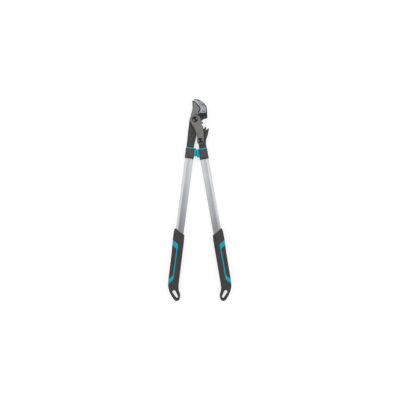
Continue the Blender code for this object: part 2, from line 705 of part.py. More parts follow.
def cross_drill(piece, name, side, radius, parent):
    """A hole through the handle for the tang pin."""
    centre = (side * TANG_OFFSET, -PIN_DROP)
    drill = loft([[(x, y, z) for x, y in circle(radius, centre, PIN_STEPS)]
                  for z in (-COLLAR_WIDTH, COLLAR_WIDTH)])
    cut(piece, add(name, drill, parent=parent, **handle_place(side)))


def make_tube(side, label, material, parent):
    outer = mirrored(side, oval(TUBE_WIDTH, TUBE_DEPTH))
    inner = mirrored(side, oval(TUBE_WIDTH - 2 * TUBE_WALL, TUBE_DEPTH - 2 * TUBE_WALL))
    mesh = sleeve(outer, inner, TUBE_START, TUBE_END)
    tube = add(label + "_tube", mesh, material, parent, **handle_place(side))
    cross_drill(tube, label + "_tube_hole", side, PIN_RADIUS + GAP, parent)


def make_insert(side, label, material, parent):
    slack = 2 * (TUBE_WALL + GAP)
    outer = mirrored(side, oval(TUBE_WIDTH - slack, TUBE_DEPTH - slack))
    slot = box_loop(TANG_WIDTH + 2 * GAP, LEVER_THICKNESS + 2 * GAP, side * TANG_OFFSET, outer)
    mesh = sleeve(outer, slot, TUBE_START, TUBE_START + INSERT_LENGTH)
    insert = add(label + "_tang_insert", mesh, material, parent, **handle_place(side))
    cross_drill(insert, label + "_insert_hole", side, PIN_RADIUS + GAP, parent)


def box_loop(width, depth, middle, around):
    """A rectangle's loop with one point for each point of the loop around it."""
    loop = []
    for x, z in around:
        scale = max(abs(x - middle) / (width / 2), abs(z) / (depth / 2))
        loop.append((middle + (x - middle) / scale, z / scale))
    for corner in [(middle + sx * width / 2, sz * depth / 2) for sx in (-1, 1) for sz in (-1, 1)]:
        nearest = min(range(len(loop)), key=lambda i: hypot(loop[i][0] - corner[0], loop[i][1] - corner[1]))
        loop[nearest] = corner
    return loop


def make_pin(side, label, material, parent):
    """The pin's ends stay under the tube's surface where it lies lowest across the pin."""
    half = TUBE_DEPTH / 2 - PIN_RADIUS / 2 - GAP
    centre = (side * TANG_OFFSET, -PIN_DROP)
    pin = loft([[(x, y, z) for x, y in circle(PIN_RADIUS, centre, PIN_STEPS)] for z in (-half, half)])
    add(label + "_tang_pin", pin, material, parent, **handle_place(side))


def collar_rings(side, profile):
    """Rings of the collar's outside from (w, how far they are drawn in) pairs."""
    unit = squared_oval(COLLAR_STEPS, COLLAR_SQUARENESS)
    rings = []
    for w, drawn in profile:
        half_width, half_depth = COLLAR_WIDTH / 2 - drawn, COLLAR_DEPTH / 2 - drawn
        rings.append([(side * u * half_width, -w, z * half_depth) for u, z in unit])
    return rings


def make_collar(side, label, material, parent):
    length, depth = COLLAR_EDGE
    rings = collar_rings(side, [(COLLAR_TOP, depth), (COLLAR_TOP + length, 0.0),
                                (COLLAR_LENGTH - length, 0.0), (COLLAR_LENGTH, depth)])
    collar = add(label + "_collar", loft(rings), material, parent, **handle_place(side))
    bore = mirrored(side, oval(TUBE_WIDTH + 2 * GAP, TUBE_DEPTH + 2 * GAP))
    bore_mesh = loft([[(x, -w, z) for x, z in bore]
                      for w in (TUBE_START - GAP, COLLAR_LENGTH + COLLAR_TOP_WALL)])
    cut(collar, add(label + "_collar_bore", bore_mesh, parent=parent, **handle_place(side)))
    cut(collar, add(label + "_collar_slot", tang_slot(side), parent=parent, **handle_place(side)))


def tang_slot(side):
    """A cutter that clears the tang through the trim and the collar's top."""
    half, depth = TANG_WIDTH / 2 + GAP, LEVER_THICKNESS / 2 + GAP
    low, high = side * TANG_OFFSET - half, side * TANG_OFFSET + half
    corners = [(low, -depth), (high, -depth), (high, depth), (low, depth)]
    return loft([[(x, y, z) for x, z in corners] for y in (COLLAR_TOP, -TUBE_START - GAP)])


def make_bumper(side, label, material, parent):
    """The trim over the collar's top, and the bumper that it runs into beside the collar."""
    length, depth = TRIM_EDGE
    rings = collar_rings(side, [(0.0, depth), (length, 0.0), (TRIM_THICKNESS, 0.0)])
    place = handle_place(side)
    trim = add(label + "_bumper", loft(rings), material, parent, **place)
    start = Vector(place["at"]).xy + Vector(PIVOT[side])
    lean = radians(LEAN[side])
    plane = BUMPER_PLANE + side * GAP / 2

    def face_u(w):
        """How far out the meeting plane lies at w, on the handle's own axes."""
        x = (plane - start.x - w * sin(lean)) / cos(lean)
        return side * x

    outline = bumper_outline(face_u)
    pad = [[(side * u, -w, z) for u, w in outline] for z in (-BUMPER_DEPTH / 2, BUMPER_DEPTH / 2)]
    cut(trim, add(label + "_bumper_pad", loft(pad), parent=parent, **place), "UNION")
    cut(trim, add(label + "_bumper_slot", tang_slot(side), parent=parent, **place))


def bumper_outline(face_u):
    """The bumper from the front, as (u, w): a D whose flat side meets the other bumper."""
    near = -COLLAR_WIDTH / 2 - GAP
    root = near + TRIM_THICKNESS
    high, low = BUMPER_TOP, BUMPER_LENGTH
    outer = rounded([(root, high), (face_u(high), high), (face_u(low), low), (near, low)], BUMPER_ROUND)
    return outer + [(near, TRIM_THICKNESS - GAP), (root, TRIM_THICKNESS - GAP)]


def grip_rings(side, shrink=0.0):
    """Rings of a grip's outside, drawn in by shrink."""
    unit = squared_oval(GRIP_STEPS, GRIP_SQUARENESS)
    rings = []
    ribs = [rib + (share,) for rib, share in zip(GRIP_RIBS, GRIP_SHARES)]
    for inside, inner_w, outside, outer_w, share in smooth(ribs, 2):
        inner = Vector((-TUBE_WIDTH / 2 - inside, inner_w))
        outer = Vector((TUBE_WIDTH / 2 + outside, outer_w))
        centre = (inner + outer) / 2
        half = (outer - inner) / 2
        half = half.normalized() * (half.length - shrink)
        depth = GRIP_DEPTH / 2 * share - shrink
        rings.append([(side * (centre.x + half.x * c), -(centre.y + half.y * c), depth * s)
                      for c, s in unit])
    return rings


def band_path(line, top, bottom, margin=0.0):
    """A side of the inlay as an open path: in along the upper band, down the line, out along the lower.
    The margin draws all of it in towards the palm."""
    top += margin / cos(radians(BAND_TOP_SLOPE))
    bottom -= margin / cos(radians(BAND_BOTTOM_SLOPE))
    line += margin

    def top_at(u):
        return top + (BAND_EDGE - u) * tan(radians(BAND_TOP_SLOPE))

    def bottom_at(u):
        return bottom - (BAND_EDGE - u) * tan(radians(BAND_BOTTOM_SLOPE))

    return rounded([(REACH, top_at(REACH)), (line, top_at(line)), (line, bottom_at(line)),
                    (REACH, bottom_at(REACH))], BAND_ROUND)


def zone(side, path):
    """A prism right through the grip over an outline of (u, w) points."""
    depth = GRIP_DEPTH
    return loft([[(side * u, -w, z) for u, w in path] for z in (-depth, depth)])


def make_grip(side, label, core_material, pad_material, inlay_material, parent):
    place = handle_place(side)
    core = add(label + "_grip_core", loft(grip_rings(side)), core_material, parent, **place)
    floor = add(label + "_grip_floor", loft(grip_rings(side, RECESS_DEPTH)), parent=parent, **place)
    seat = add(label + "_grip_seat", loft(grip_rings(side, RECESS_DEPTH - GAP)), parent=parent, **place)

    recess = add(label + "_grip_recess", zone(side, band_path(INLAY_LINE, BAND_TOP, BAND_BOTTOM)),
                 parent=parent, **place)
    cut(recess, floor)
    cut(core, recess)
    socket = mirrored(side, oval(TUBE_WIDTH + 2 * GAP, TUBE_DEPTH + 2 * GAP))
    start = GRIP_RIBS[0][3] - TUBE_WIDTH
    socket_mesh = loft([[(x, -w, z) for x, z in socket] for w in (start, TUBE_END + SOCKET_FLOOR)])
    cut(core, add(label + "_grip_socket", socket_mesh, parent=parent, **place))
    cut(core, add(label + "_grip_eye", zone(side, eye_outline()), parent=parent, **place))

    palm_side = (INLAY_LINE + INLAY_LINE_WIDTH, BAND_TOP + BAND_WIDTH, BAND_BOTTOM - BAND_WIDTH)
    outside = band_path(INLAY_LINE, BAND_TOP, BAND_BOTTOM, GAP)
    inside = band_path(*palm_side)
    inlay = add(label + "_grip_inlay", loft(grip_rings(side)), inlay_material, parent, **place)
    band = zone(side, outside + list(reversed(inside)))
    cut(inlay, add(label + "_inlay_zone", band, parent=parent, **place), "INTERSECT")
    cut(inlay, seat)

    pad = add(label + "_grip_pad", loft(grip_rings(side)), pad_material, parent, **place)
    palm = zone(side, band_path(*palm_side, GAP))
    cut(pad, add(label + "_pad_zone", palm, parent=parent, **place), "INTERSECT")
    cut(pad, seat)


def eye_outline():
    """The hang eye: two rounds and the straight lines that touch both."""
    top, low = Vector(EYE_TOP), Vector(EYE_LOW)
    along = low - top
    heading = degrees(atan2(along.y, along.x))
    spread = degrees(acos((EYE_TOP_RADIUS - EYE_LOW_RADIUS) / along.length))
    upper = arc(EYE_TOP_RADIUS, heading + spread, heading + 360.0 - spread, EYE_TOP, EYE_STEP)
    lower = arc(EYE_LOW_RADIUS, heading - spread, heading + spread, EYE_LOW, EYE_STEP)
    return upper + lower


# The whole tool

def pivot_empty(name, centre):
    empty = bpy.data.objects.new(name, None)
    bpy.context.scene.collection.objects.link(empty)
    empty.location = (centre[0], centre[1], 0.0)
    return empty


def main():
    for piece in list(bpy.data.objects):
        bpy.data.objects.remove(piece)

    blade_steel = finish("blade_steel", (0.24, 0.24, 0.23), 0.38, 0.9)
    link_steel = finish("link_steel", (0.21, 0.195, 0.18), 0.45, 0.85)
    forged_steel = finish("forged_steel", (0.055, 0.057, 0.06), 0.55, 0.4)
    bolt_steel = finish("black_bolt_steel", (0.02, 0.022, 0.035), 0.15, 1.0)
    bronze = finish("bush_bronze", (0.45, 0.3, 0.14), 0.4, 1.0)
    aluminium = finish("tube_aluminium", (0.55, 0.56, 0.58), 0.35, 0.9)
    nylon = finish("grey_nylon", (0.09, 0.083, 0.085), 0.55, 0.0)
    grip_plastic = finish("grip_plastic", (0.058, 0.054, 0.054), 0.6, 0.0)
    pad_rubber = finish("pad_rubber", (0.062, 0.058, 0.058), 0.75, 0.0)
    teal = finish("teal_rubber", (0.0, 0.35, 0.48), 0.55, 0.0)

    make_blade(blade_steel)
    make_link("front_link", Z_FRONT_LINK, link_steel)
    make_link("rear_link", Z_REAR_LINK, link_steel)
    for label, centre in (("main", (0.0, 0.0)), ("lower", LOWER_PIVOT)):
        make_bolt(label + "_bolt", centre, bolt_steel)
        make_nut(label + "_nut", centre, bolt_steel)
        make_bush(label + "_bush", centre, bronze)

    main_pivot = pivot_empty("main_pivot", PIVOT[LEFT])
    lower_pivot = pivot_empty("lower_pivot", PIVOT[RIGHT])
    make_hook_lever(forged_steel, main_pivot)
    make_gear_lever(forged_steel, lower_pivot)
    for side, label, pivot in ((LEFT, "left", main_pivot), (RIGHT, "right", lower_pivot)):
        make_insert(side, label, nylon, pivot)
        make_pin(side, label, bolt_steel, pivot)
        make_tube(side, label, aluminium, pivot)
        make_collar(side, label, nylon, pivot)
        make_bumper(side, label, teal, pivot)
        make_grip(side, label, grip_plastic, pad_rubber, teal, pivot)


main()
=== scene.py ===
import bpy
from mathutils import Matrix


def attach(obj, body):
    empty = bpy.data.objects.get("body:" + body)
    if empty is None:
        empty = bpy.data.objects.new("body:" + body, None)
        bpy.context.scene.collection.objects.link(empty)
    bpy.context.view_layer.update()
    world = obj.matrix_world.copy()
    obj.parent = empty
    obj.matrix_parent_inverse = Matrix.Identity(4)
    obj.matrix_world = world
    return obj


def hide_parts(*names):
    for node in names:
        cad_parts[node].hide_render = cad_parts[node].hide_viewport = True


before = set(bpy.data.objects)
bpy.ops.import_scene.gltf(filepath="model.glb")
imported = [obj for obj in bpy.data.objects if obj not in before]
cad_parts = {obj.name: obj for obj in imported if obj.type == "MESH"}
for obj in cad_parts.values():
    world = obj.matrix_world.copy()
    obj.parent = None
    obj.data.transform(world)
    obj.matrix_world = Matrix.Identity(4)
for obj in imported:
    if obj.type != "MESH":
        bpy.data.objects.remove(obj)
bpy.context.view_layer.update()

import math

import bpy
from mathutils import Vector

print("frame loaded")

# Selecting, cutting and finishing

joinWithin = 0.00001    # points of a CAD copy that are one corner lie this near
seamWithin = 0.000001   # and so do those along the seam of a rolled sheet
flatWithin = 0.2        # degrees between triangles of one flat face
tiny = 0.00001          # less than any real step between two points


def only(piece):
    bpy.ops.object.select_all(action="DESELECT")
    piece.select_set(True)
    bpy.context.view_layer.objects.active = piece


def openMesh(piece, kind="VERT", wanted=None):
    # into edit mode, with all or just the wanted points, edges or faces selected
    only(piece)
    bpy.ops.object.mode_set(mode="EDIT")
    bpy.ops.mesh.select_mode(type=kind)
    bpy.ops.mesh.select_all(action="DESELECT" if wanted else "SELECT")
    if wanted:
        bpy.ops.object.mode_set(mode="OBJECT")
        mesh = piece.data
        for part in {"VERT": mesh.vertices, "EDGE": mesh.edges, "FACE": mesh.polygons}[kind]:
            part.select = wanted(part)
        bpy.ops.object.mode_set(mode="EDIT")


def closeMesh():
    bpy.ops.object.mode_set(mode="OBJECT")


def modify(piece, kind, **settings):
    only(piece)
    bpy.ops.object.modifier_add(type=kind)
    added = piece.modifiers[-1]
    for name, value in settings.items():
        setattr(added, name, value)
    bpy.ops.object.modifier_apply(modifier=added.name)


def cutWith(piece, cutter, operation="DIFFERENCE"):
    modify(piece, "BOOLEAN", object=cutter, operation=operation, solver="EXACT")
    bpy.data.objects.remove(cutter, do_unlink=True)


def softEdges(piece, width, angle):
    # a narrow bevel on each edge that is sharper than the angle
    modify(piece, "BEVEL", width=width, segments=1, limit_method="ANGLE",
           angle_limit=math.radians(angle), use_clamp_overlap=False, harden_normals=False)


def shadeRound(piece, angle):
    only(piece)
    bpy.ops.object.shade_smooth_by_angle(angle=math.radians(angle))


def justAdded():
    # the new object, with its place, turn and size passed on to its points
    bpy.ops.object.transform_apply(location=True, rotation=True, scale=True)
    return bpy.context.object


def heights(piece, edge):
    return [piece.data.vertices[i].co.z for i in edge.vertices]


def climb(piece, edge):
    return max(heights(piece, edge)) - min(heights(piece, edge))


def mergedCopy(nodeName):
    # a copy of a CAD node with its loose triangles joined into whole faces
    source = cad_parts[nodeName]
    piece = bpy.data.objects.new(nodeName + "Copy", source.data.copy())
    bpy.context.scene.collection.objects.link(piece)
    piece.data.materials.clear()
    only(piece)
    bpy.ops.mesh.customdata_custom_splitnormals_clear()
    openMesh(piece)
    bpy.ops.mesh.remove_doubles(threshold=joinWithin)
    bpy.ops.mesh.dissolve_limited(angle_limit=math.radians(flatWithin))
    bpy.ops.mesh.normals_make_consistent(inside=False)
    closeMesh()
    return piece


def rolledSheet(name, rings):
    # a grid rolled into a tube, row by row, and closed at both ends
    across, along = len(rings[0]), len(rings) - 1
    bpy.ops.mesh.primitive_grid_add(x_subdivisions=across, y_subdivisions=along)
    piece = bpy.context.object
    piece.name = name
    for i, point in enumerate(piece.data.vertices):
        row, column = divmod(i, across + 1)
        point.co = rings[row][column % across]
    openMesh(piece)
    bpy.ops.mesh.remove_doubles(threshold=seamWithin)
    bpy.ops.mesh.fill_holes(sides=0)
    bpy.ops.mesh.select_all(action="SELECT")
    bpy.ops.mesh.normals_make_consistent(inside=False)
    closeMesh()
    return piece


def deliver(piece, name, body, nodes, materials, pick=None):
    # names a piece, gives it its finishes and ties it to the frame
    piece.name = name
    piece.data.name = name
    piece.data.materials.clear()
    for material in materials:
        piece.data.materials.append(material)
    for face in piece.data.polygons:
        face.material_index = pick(face) if pick else 0
    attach(piece, body)
    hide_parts(*nodes)


def refinish(nodeName, finishName):
    # a CAD solid that shows as it is, in a finish of this scene
    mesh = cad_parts[nodeName].data
    mesh.materials.clear()
    mesh.materials.append(finishes[finishName])


# Outlines


def smoothPath(points, steps):
    # an open curve through points of any number of values
    ends = [points[0]] + list(points) + [points[-1]]
    curve = []
    for before, start, end, after in zip(ends, ends[1:], ends[2:], ends[3:]):
        for i in range(steps):
            t = i / steps
            curve.append(tuple(
                0.5 * (2 * b + (c - a) * t + (2 * a - 5 * b + 4 * c - d) * t ** 2
                       + (3 * b - a - 3 * c + d) * t ** 3)
                for a, b, c, d in zip(before, start, end, after)))
    return curve + [tuple(points[-1])]


def arcPoints(centre, radius, start, end, step=6.0):
    # the two ends and the step are in degrees
    count = max(1, math.ceil(abs(end - start) / step))
    angles = [math.radians(start + (end - start) * i / count) for i in range(count + 1)]
    return [(centre[0] + radius * math.cos(a), centre[1] + radius * math.sin(a)) for a in angles]


def roundedPath(points, radius):
    # an open path with its inner corners rounded
    path = [points[0]]
    for before, corner, after in zip(points, points[1:], points[2:]):
        corner = Vector(corner)
        back = (Vector(before) - corner).normalized()
        ahead = (Vector(after) - corner).normalized()
        half = back.angle(ahead) / 2
        centre = corner + (back + ahead).normalized() * radius / math.sin(half)
        first = corner + back * radius / math.tan(half) - centre
        turn = 180.0 - math.degrees(2 * half)
        if back.cross(ahead) > 0:
            turn = -turn
        start = math.degrees(math.atan2(first.y, first.x))
        path += arcPoints(centre, radius, start, start + turn)
    return path + [points[-1]]


def drawnIn(outline, widths):
    # a closed outline moved in, at each point by its own width
    turning = sum(a[0] * b[1] - b[0] * a[1] for a, b in zip(outline, outline[1:] + outline[:1]))
    moved = []
    for i, (point, width) in enumerate(zip(outline, widths)):
        along = Vector(outline[(i + 1) % len(outline)]) - Vector(outline[i - 1])
        inward = Vector((-along.y, along.x)).normalized() * (1 if turning > 0 else -1)
        moved.append(tuple(Vector(point) + inward * width))
    return moved


# Finishes


def linear(code):
    # sRGB hex to the linear colour that a socket takes
    parts = [int(code[i:i + 2], 16) / 255 for i in (1, 3, 5)]
    return tuple(c / 12.92 if c <= 0.04045 else ((c + 0.055) / 1.055) ** 2.4 for c in parts) + (1.0,)


def node(tree, kind, inputs=None, **settings):
    made = tree.nodes.new("ShaderNode" + kind)
    for name, value in settings.items():
        setattr(made, name, value)
    for key, value in (inputs or {}).items():
        socket = made.inputs[key]
        if isinstance(value, bpy.types.NodeSocket):
            tree.links.new(value, socket)
        else:
            socket.default_value = value
    return made


surface = {
    "cloudDetail": 4.0, "cloudLow": 0.32, "cloudHigh": 0.68,
    "grainDetail": 3.0, "lineDetail": 5.0, "lineRoughness": 0.65, "noise": (0.3, 0.7),
    # how alike the rounded and the flat surface are where an edge's wear starts and is full
    "edgeStart": 0.995, "edgeFull": 0.90,
    "wander": 4.0,                  # mm at most that a spot's border wanders, with the clouding
    "bump": 0.5,
}


def makeFinish(name, facts):
    # cloud, grain, relief, lines, specks and edge are in mm, and so is how far a spot reaches
    # lines: spacing, length, degrees from X and strength; specks: spacing, cover and colour
    # edge: reach, colour and strength; spots: the two ends in metres, full within, gone past, colour
    material = bpy.data.materials.new(name)
    material.use_nodes = True
    tree = material.node_tree
    shader = tree.nodes["Principled BSDF"]
    where = node(tree, "TexCoord").outputs["Object"]

    cloud = node(tree, "TexNoise", {"Vector": where, "Scale": 1000 / facts["cloud"],
                                    "Detail": surface["cloudDetail"]}).outputs["Fac"]
    spread = node(tree, "MapRange", {"Value": cloud, "From Min": surface["cloudLow"],
                                     "From Max": surface["cloudHigh"]}).outputs["Result"]
    colour = node(tree, "Mix", {0: spread, 6: linear(facts["shade"]), 7: linear(facts["colour"])},
                  data_type="RGBA").outputs[2]
    grain = node(tree, "TexNoise", {"Vector": where, "Scale": 1000 / facts["grain"],
                                    "Detail": surface["grainDetail"]}).outputs["Fac"]
    noiseLow, noiseHigh = surface["noise"]
    texture, textureTop = grain, noiseHigh

    if "lines" in facts:
        spacing, length, turn, strength = facts["lines"]
        # tools leave lines far finer than these, which are as coarse as they need to be to show
        turned = node(tree, "Mapping", {"Vector": where, "Rotation": (0.0, 0.0, math.radians(-turn))})
        scaled = node(tree, "Mapping", {"Vector": turned.outputs[0],
                                        "Scale": (1000 / length, 1000 / spacing, 1000 / spacing)})
        lines = node(tree, "TexNoise", {"Vector": scaled.outputs[0], "Scale": 1.0,
                                        "Detail": surface["lineDetail"],
                                        "Roughness": surface["lineRoughness"]}).outputs["Fac"]
        streak = node(tree, "MapRange", {"Value": lines, "From Min": noiseLow, "From Max": noiseHigh,
                                         "To Min": 1.0 - strength,
                                         "To Max": 1.0 + strength}).outputs["Result"]
        colour = node(tree, "Mix", {0: 1.0, 6: colour, 7: streak}, data_type="RGBA",
                      blend_type="MULTIPLY").outputs[2]
        texture = node(tree, "Math", {0: grain, 1: lines}, operation="ADD").outputs[0]
        textureTop = 2 * noiseHigh

    if "specks" in facts:
        size, cover, speckColour = facts["specks"]
        cells = node(tree, "TexVoronoi", {"Vector": where, "Scale": 1000 / size}).outputs["Distance"]
        dots = node(tree, "MapRange", {"Value": cells, "From Min": cover,
                                       "From Max": cover / 2}).outputs["Result"]
        colour = node(tree, "Mix", {0: dots, 6: colour, 7: linear(speckColour)},
                      data_type="RGBA").outputs[2]

    if "edge" in facts:
        # handling wears the edges of the plastics lighter, while the darker edges of the link plates are
        # painted shade and the lighter edges of the teal rubber a painted highlight; the mask finds them
        # by how far rounding would tilt them
        radius, edgeColour, strength = facts["edge"]
        rounded = node(tree, "Bevel", {"Radius": radius / 1000}, samples=4).outputs["Normal"]
        flat = node(tree, "NewGeometry").outputs["Normal"]
        match = node(tree, "VectorMath", {0: rounded, 1: flat}, operation="DOT_PRODUCT").outputs["Value"]
        wearAndPaintedLight = node(tree, "MapRange", {"Value": match, "From Min": surface["edgeStart"],
                                         "From Max": surface["edgeFull"],
                                         "To Max": strength}).outputs["Result"]
        patchy = node(tree, "Math", {0: wearAndPaintedLight, 1: spread}, operation="MULTIPLY").outputs[0]
        colour = node(tree, "Mix", {0: patchy, 6: colour, 7: linear(edgeColour)},
                      data_type="RGBA").outputs[2]

    for start, end, inner, outer, spotColour in facts.get("spots", []):
        # how far each place is from the line between the spot's two ends, seen from above
        run = Vector((end[0] - start[0], end[1] - start[1], 0.0))
        moved = node(tree, "Mapping", {"Vector": where,
                                       "Location": (-start[0], -start[1], 0.0)}).outputs[0]
        level = node(tree, "VectorMath", {0: moved, 1: (1.0, 1.0, 0.0)},
                     operation="MULTIPLY").outputs["Vector"]
        share = node(tree, "VectorMath", {0: level, 1: run / max(run.length_squared, tiny ** 2)},
                     operation="DOT_PRODUCT").outputs["Value"]
        along = node(tree, "Math", {0: share, 1: 0.0}, operation="ADD", use_clamp=True).outputs[0]
        nearest = node(tree, "VectorMath", {0: run, "Scale": along},
                       operation="SCALE").outputs["Vector"]
        away = node(tree, "VectorMath", {0: level, 1: nearest}, operation="DISTANCE").outputs["Value"]
        wander = min(outer, surface["wander"]) / 1000
        ragged = node(tree, "Math", {0: cloud, 1: wander, 2: away}, operation="MULTIPLY_ADD").outputs[0]
        near = node(tree, "MapRange", {"Value": ragged, "From Min": outer / 1000 + wander / 2,
                                       "From Max": inner / 1000 + wander / 2}).outputs["Result"]
        colour = node(tree, "Mix", {0: near, 6: colour, 7: linear(spotColour)},
                      data_type="RGBA").outputs[2]

    low, high = facts["roughness"]
    rough = node(tree, "MapRange", {"Value": texture, "From Min": noiseLow, "From Max": textureTop,
                                    "To Min": low, "To Max": high}).outputs["Result"]
    raised = node(tree, "Bump", {"Height": texture, "Strength": surface["bump"],
                                 "Distance": facts["relief"] / 1000}).outputs["Normal"]
    tree.links.new(colour, shader.inputs["Base Color"])
    tree.links.new(rough, shader.inputs["Roughness"])
    tree.links.new(raised, shader.inputs["Normal"])
    for socket, value in facts["sockets"].items():
        shader.inputs[socket].default_value = value
    return material


# painted shadow of the link's top edge: a dark line along that edge, over both plates
linkShadowEnds = ((0.0002, 0.0141), (0.0048, 0.0135), (0.0084, 0.0118), (0.0106, 0.0096))
linkEdgeShadow = [(start, end, 0.2, 1.9, "#3f3c3a") for start, end in zip(linkShadowEnds, linkShadowEnds[1:])]
# a darker patch round the hook
hookDarkPatch = ((0.0160, 0.0360), (0.0160, 0.0360), 24.0, 48.0, "#1f2123")
# the hook's face, darker over its middle
hookFaceDarkPatch = ((0.0150, 0.0500), (0.0240, 0.0400), 2.0, 8.0, "#a0a6ae")
# the grinder's run-out at the hook's tip
hookTip = ((0.0006, 0.0592), (0.0006, 0.0592), 0.8, 3.2, "#8b8f94")

finishFacts = {
    # high-carbon steel, surface ground and grey coated: a flat mid grey with faint lines across the blade
    "groundBladeSteel": {
        "colour": "#929291", "shade": "#838382", "cloud": 14.0, "grain": 0.8, "relief": 0.02,
        "lines": (1.1, 22.0, 15.0, 0.10), "roughness": (0.34, 0.50), "spots": linkEdgeShadow,
        "sockets": {"Metallic": 0.9}},
    # the same steel where the edge is honed: smoother and with no coat, and painted near-black as painted
    # shade on the bevel
    "honedEdgePaintedShade": {
        "colour": "#2f3436", "shade": "#262b2d", "cloud": 8.0, "grain": 0.5, "relief": 0.01,
        "lines": (0.7, 9.0, 70.0, 0.15), "roughness": (0.26, 0.38), "sockets": {"Metallic": 0.9}},
    # the blade's thinned back, painted darker than the blade as painted shade for its slope
    "slopedBackPaintedShade": {
        "colour": "#6c6c68", "shade": "#5d5d59", "cloud": 10.0, "grain": 0.8, "relief": 0.02,
        "lines": (1.0, 20.0, 80.0, 0.10), "roughness": (0.36, 0.5), "sockets": {"Metallic": 0.9}},
    # blanked plate, barrel tumbled: warm grey with a fine all-over speckle, and darker rims that are
    # painted shade
    "tumbledLinkSteel": {
        "colour": "#908c89", "shade": "#817d7b", "cloud": 11.0, "grain": 0.9, "relief": 0.05,
        "specks": (1.1, 0.16, "#7b7570"), "roughness": (0.42, 0.58), "edge": (0.6, "#55514e", 0.95),
        "spots": linkEdgeShadow, "sockets": {"Metallic": 0.9}},
    # the plate's blanked rims, which the press leaves rougher than its faces, and painted darker as
    # painted shade
    "blankedRimPaintedShade": {
        "colour": "#6a6562", "shade": "#5b5754", "cloud": 5.0, "grain": 0.7, "relief": 0.05,
        "roughness": (0.45, 0.6), "spots": linkEdgeShadow, "sockets": {"Metallic": 0.9}},
    # drop forging, shot blasted and blackened: near-black grey, slightly lumpy, darkest round the hook
    "blackenedForging": {
        "colour": "#434346", "shade": "#38383b", "cloud": 7.0, "grain": 1.6, "relief": 0.12,
        "spots": [hookDarkPatch], "roughness": (0.42, 0.60),
        "sockets": {"Metallic": 0.15, "Specular IOR Level": 0.4}},
    # the same forging on its trimmed edges and chamfers, painted darker as painted shade on faces that
    # tilt away from the top
    "forgingEdgePaintedShade": {
        "colour": "#25272a", "shade": "#1c1e20", "cloud": 5.0, "grain": 1.2, "relief": 0.08,
        "roughness": (0.40, 0.55), "sockets": {"Metallic": 0.15, "Specular IOR Level": 0.35}},
    # face of the hook, ground bright: cold silver with lines along the curve
    "brightGroundSteel": {
        "colour": "#cbcfd6", "shade": "#adb3bb", "cloud": 6.0, "grain": 0.7, "relief": 0.015,
        "lines": (0.9, 12.0, 40.0, 0.10), "roughness": (0.40, 0.52), "spots": [hookFaceDarkPatch, hookTip],
        "sockets": {"Metallic": 1.0}},
    # sintered bronze, as pressed: matt brown-gold with fine pores
    "sinteredBronze": {
        "colour": "#b08d5c", "shade": "#957547", "cloud": 4.0, "grain": 0.5, "relief": 0.03,
        "specks": (0.8, 0.2, "#6b5331"), "roughness": (0.4, 0.55), "sockets": {"Metallic": 1.0}},
    # bolt steel in the driver slot, black plated and painted flat black as painted shade in the recess
    "slotPaintedShadeSteel": {
        "colour": "#0d0e12", "shade": "#090a0c", "cloud": 3.0, "grain": 0.5, "relief": 0.03,
        "roughness": (0.5, 0.7), "sockets": {"Specular IOR Level": 0.3}},
    # nylon, injection moulded on a spark-eroded tool: dark warm grey with an even fine grain
    "mouldedNylon": {
        "colour": "#4e4c4e", "shade": "#454345", "cloud": 9.0, "grain": 0.7, "relief": 0.06,
        "roughness": (0.55, 0.70), "edge": (0.5, "#5f5c5e", 0.25),
        "sockets": {"Specular IOR Level": 0.25}},
    # the collar's lip, the same nylon painted darker as painted shade on its lower rim
    "lipPaintedShadeNylon": {
        "colour": "#3d3b3d", "shade": "#353335", "cloud": 9.0, "grain": 0.7, "relief": 0.06,
        "roughness": (0.48, 0.62), "sockets": {"Specular IOR Level": 0.3}},
    # grip shell, glass-filled polypropylene, moulded: a darker and drier grey
    "mouldedGripShell": {
        "colour": "#403e3e", "shade": "#383636", "cloud": 12.0, "grain": 0.8, "relief": 0.06,
        "roughness": (0.58, 0.74), "edge": (0.6, "#4c4a4a", 0.25),
        "sockets": {"Specular IOR Level": 0.25}},
    # palm pad, soft rubber moulded over the shell: brownish, matt and finely pebbled
    "softPalmRubber": {
        "colour": "#423e3c", "shade": "#393534", "cloud": 10.0, "grain": 1.3, "relief": 0.16,
        "roughness": (0.68, 0.84), "edge": (0.5, "#4a4644", 0.25),
        "sockets": {"Specular IOR Level": 0.25}},
    # coloured rubber, moulded in one shot: saturated teal, satin and almost plain, with lighter edges that
    # are a painted highlight
    "tealTrimRubber": {
        "colour": "#00a5bb", "shade": "#009ab0", "cloud": 10.0, "grain": 0.9, "relief": 0.04,
        "roughness": (0.50, 0.64), "edge": (0.6, "#20bccb", 0.4),
        "sockets": {"Specular IOR Level": 0.2}},
}
finishes = {name: makeFinish(name, facts) for name, facts in finishFacts.items()}

# each tube is painted darker towards the grips as painted shade, and painted bright along a line on its
# outer side as a painted highlight;
# the right one gets more painted shade near the grips, over that line: full within, gone past and colour
# of each
tubeShadeAcross = ((-0.0250, -0.3600), (0.0450, -0.3600))
highlightRun = (0.0200, 0.4000)
paintedHighlightLine = (2.0, 5.0, "#cacccf")
tubePaintedLight = {
    "left": {"paintedShade": (45.0, 205.0, "#9b9ea3"), "highlightAt": 0.0095},
    "right": {"paintedShade": (45.0, 205.0, "#acafb3"), "highlightAt": 0.0108,
              "extraPaintedShade": (35.0, 80.0, "#a0a3a7")},
}


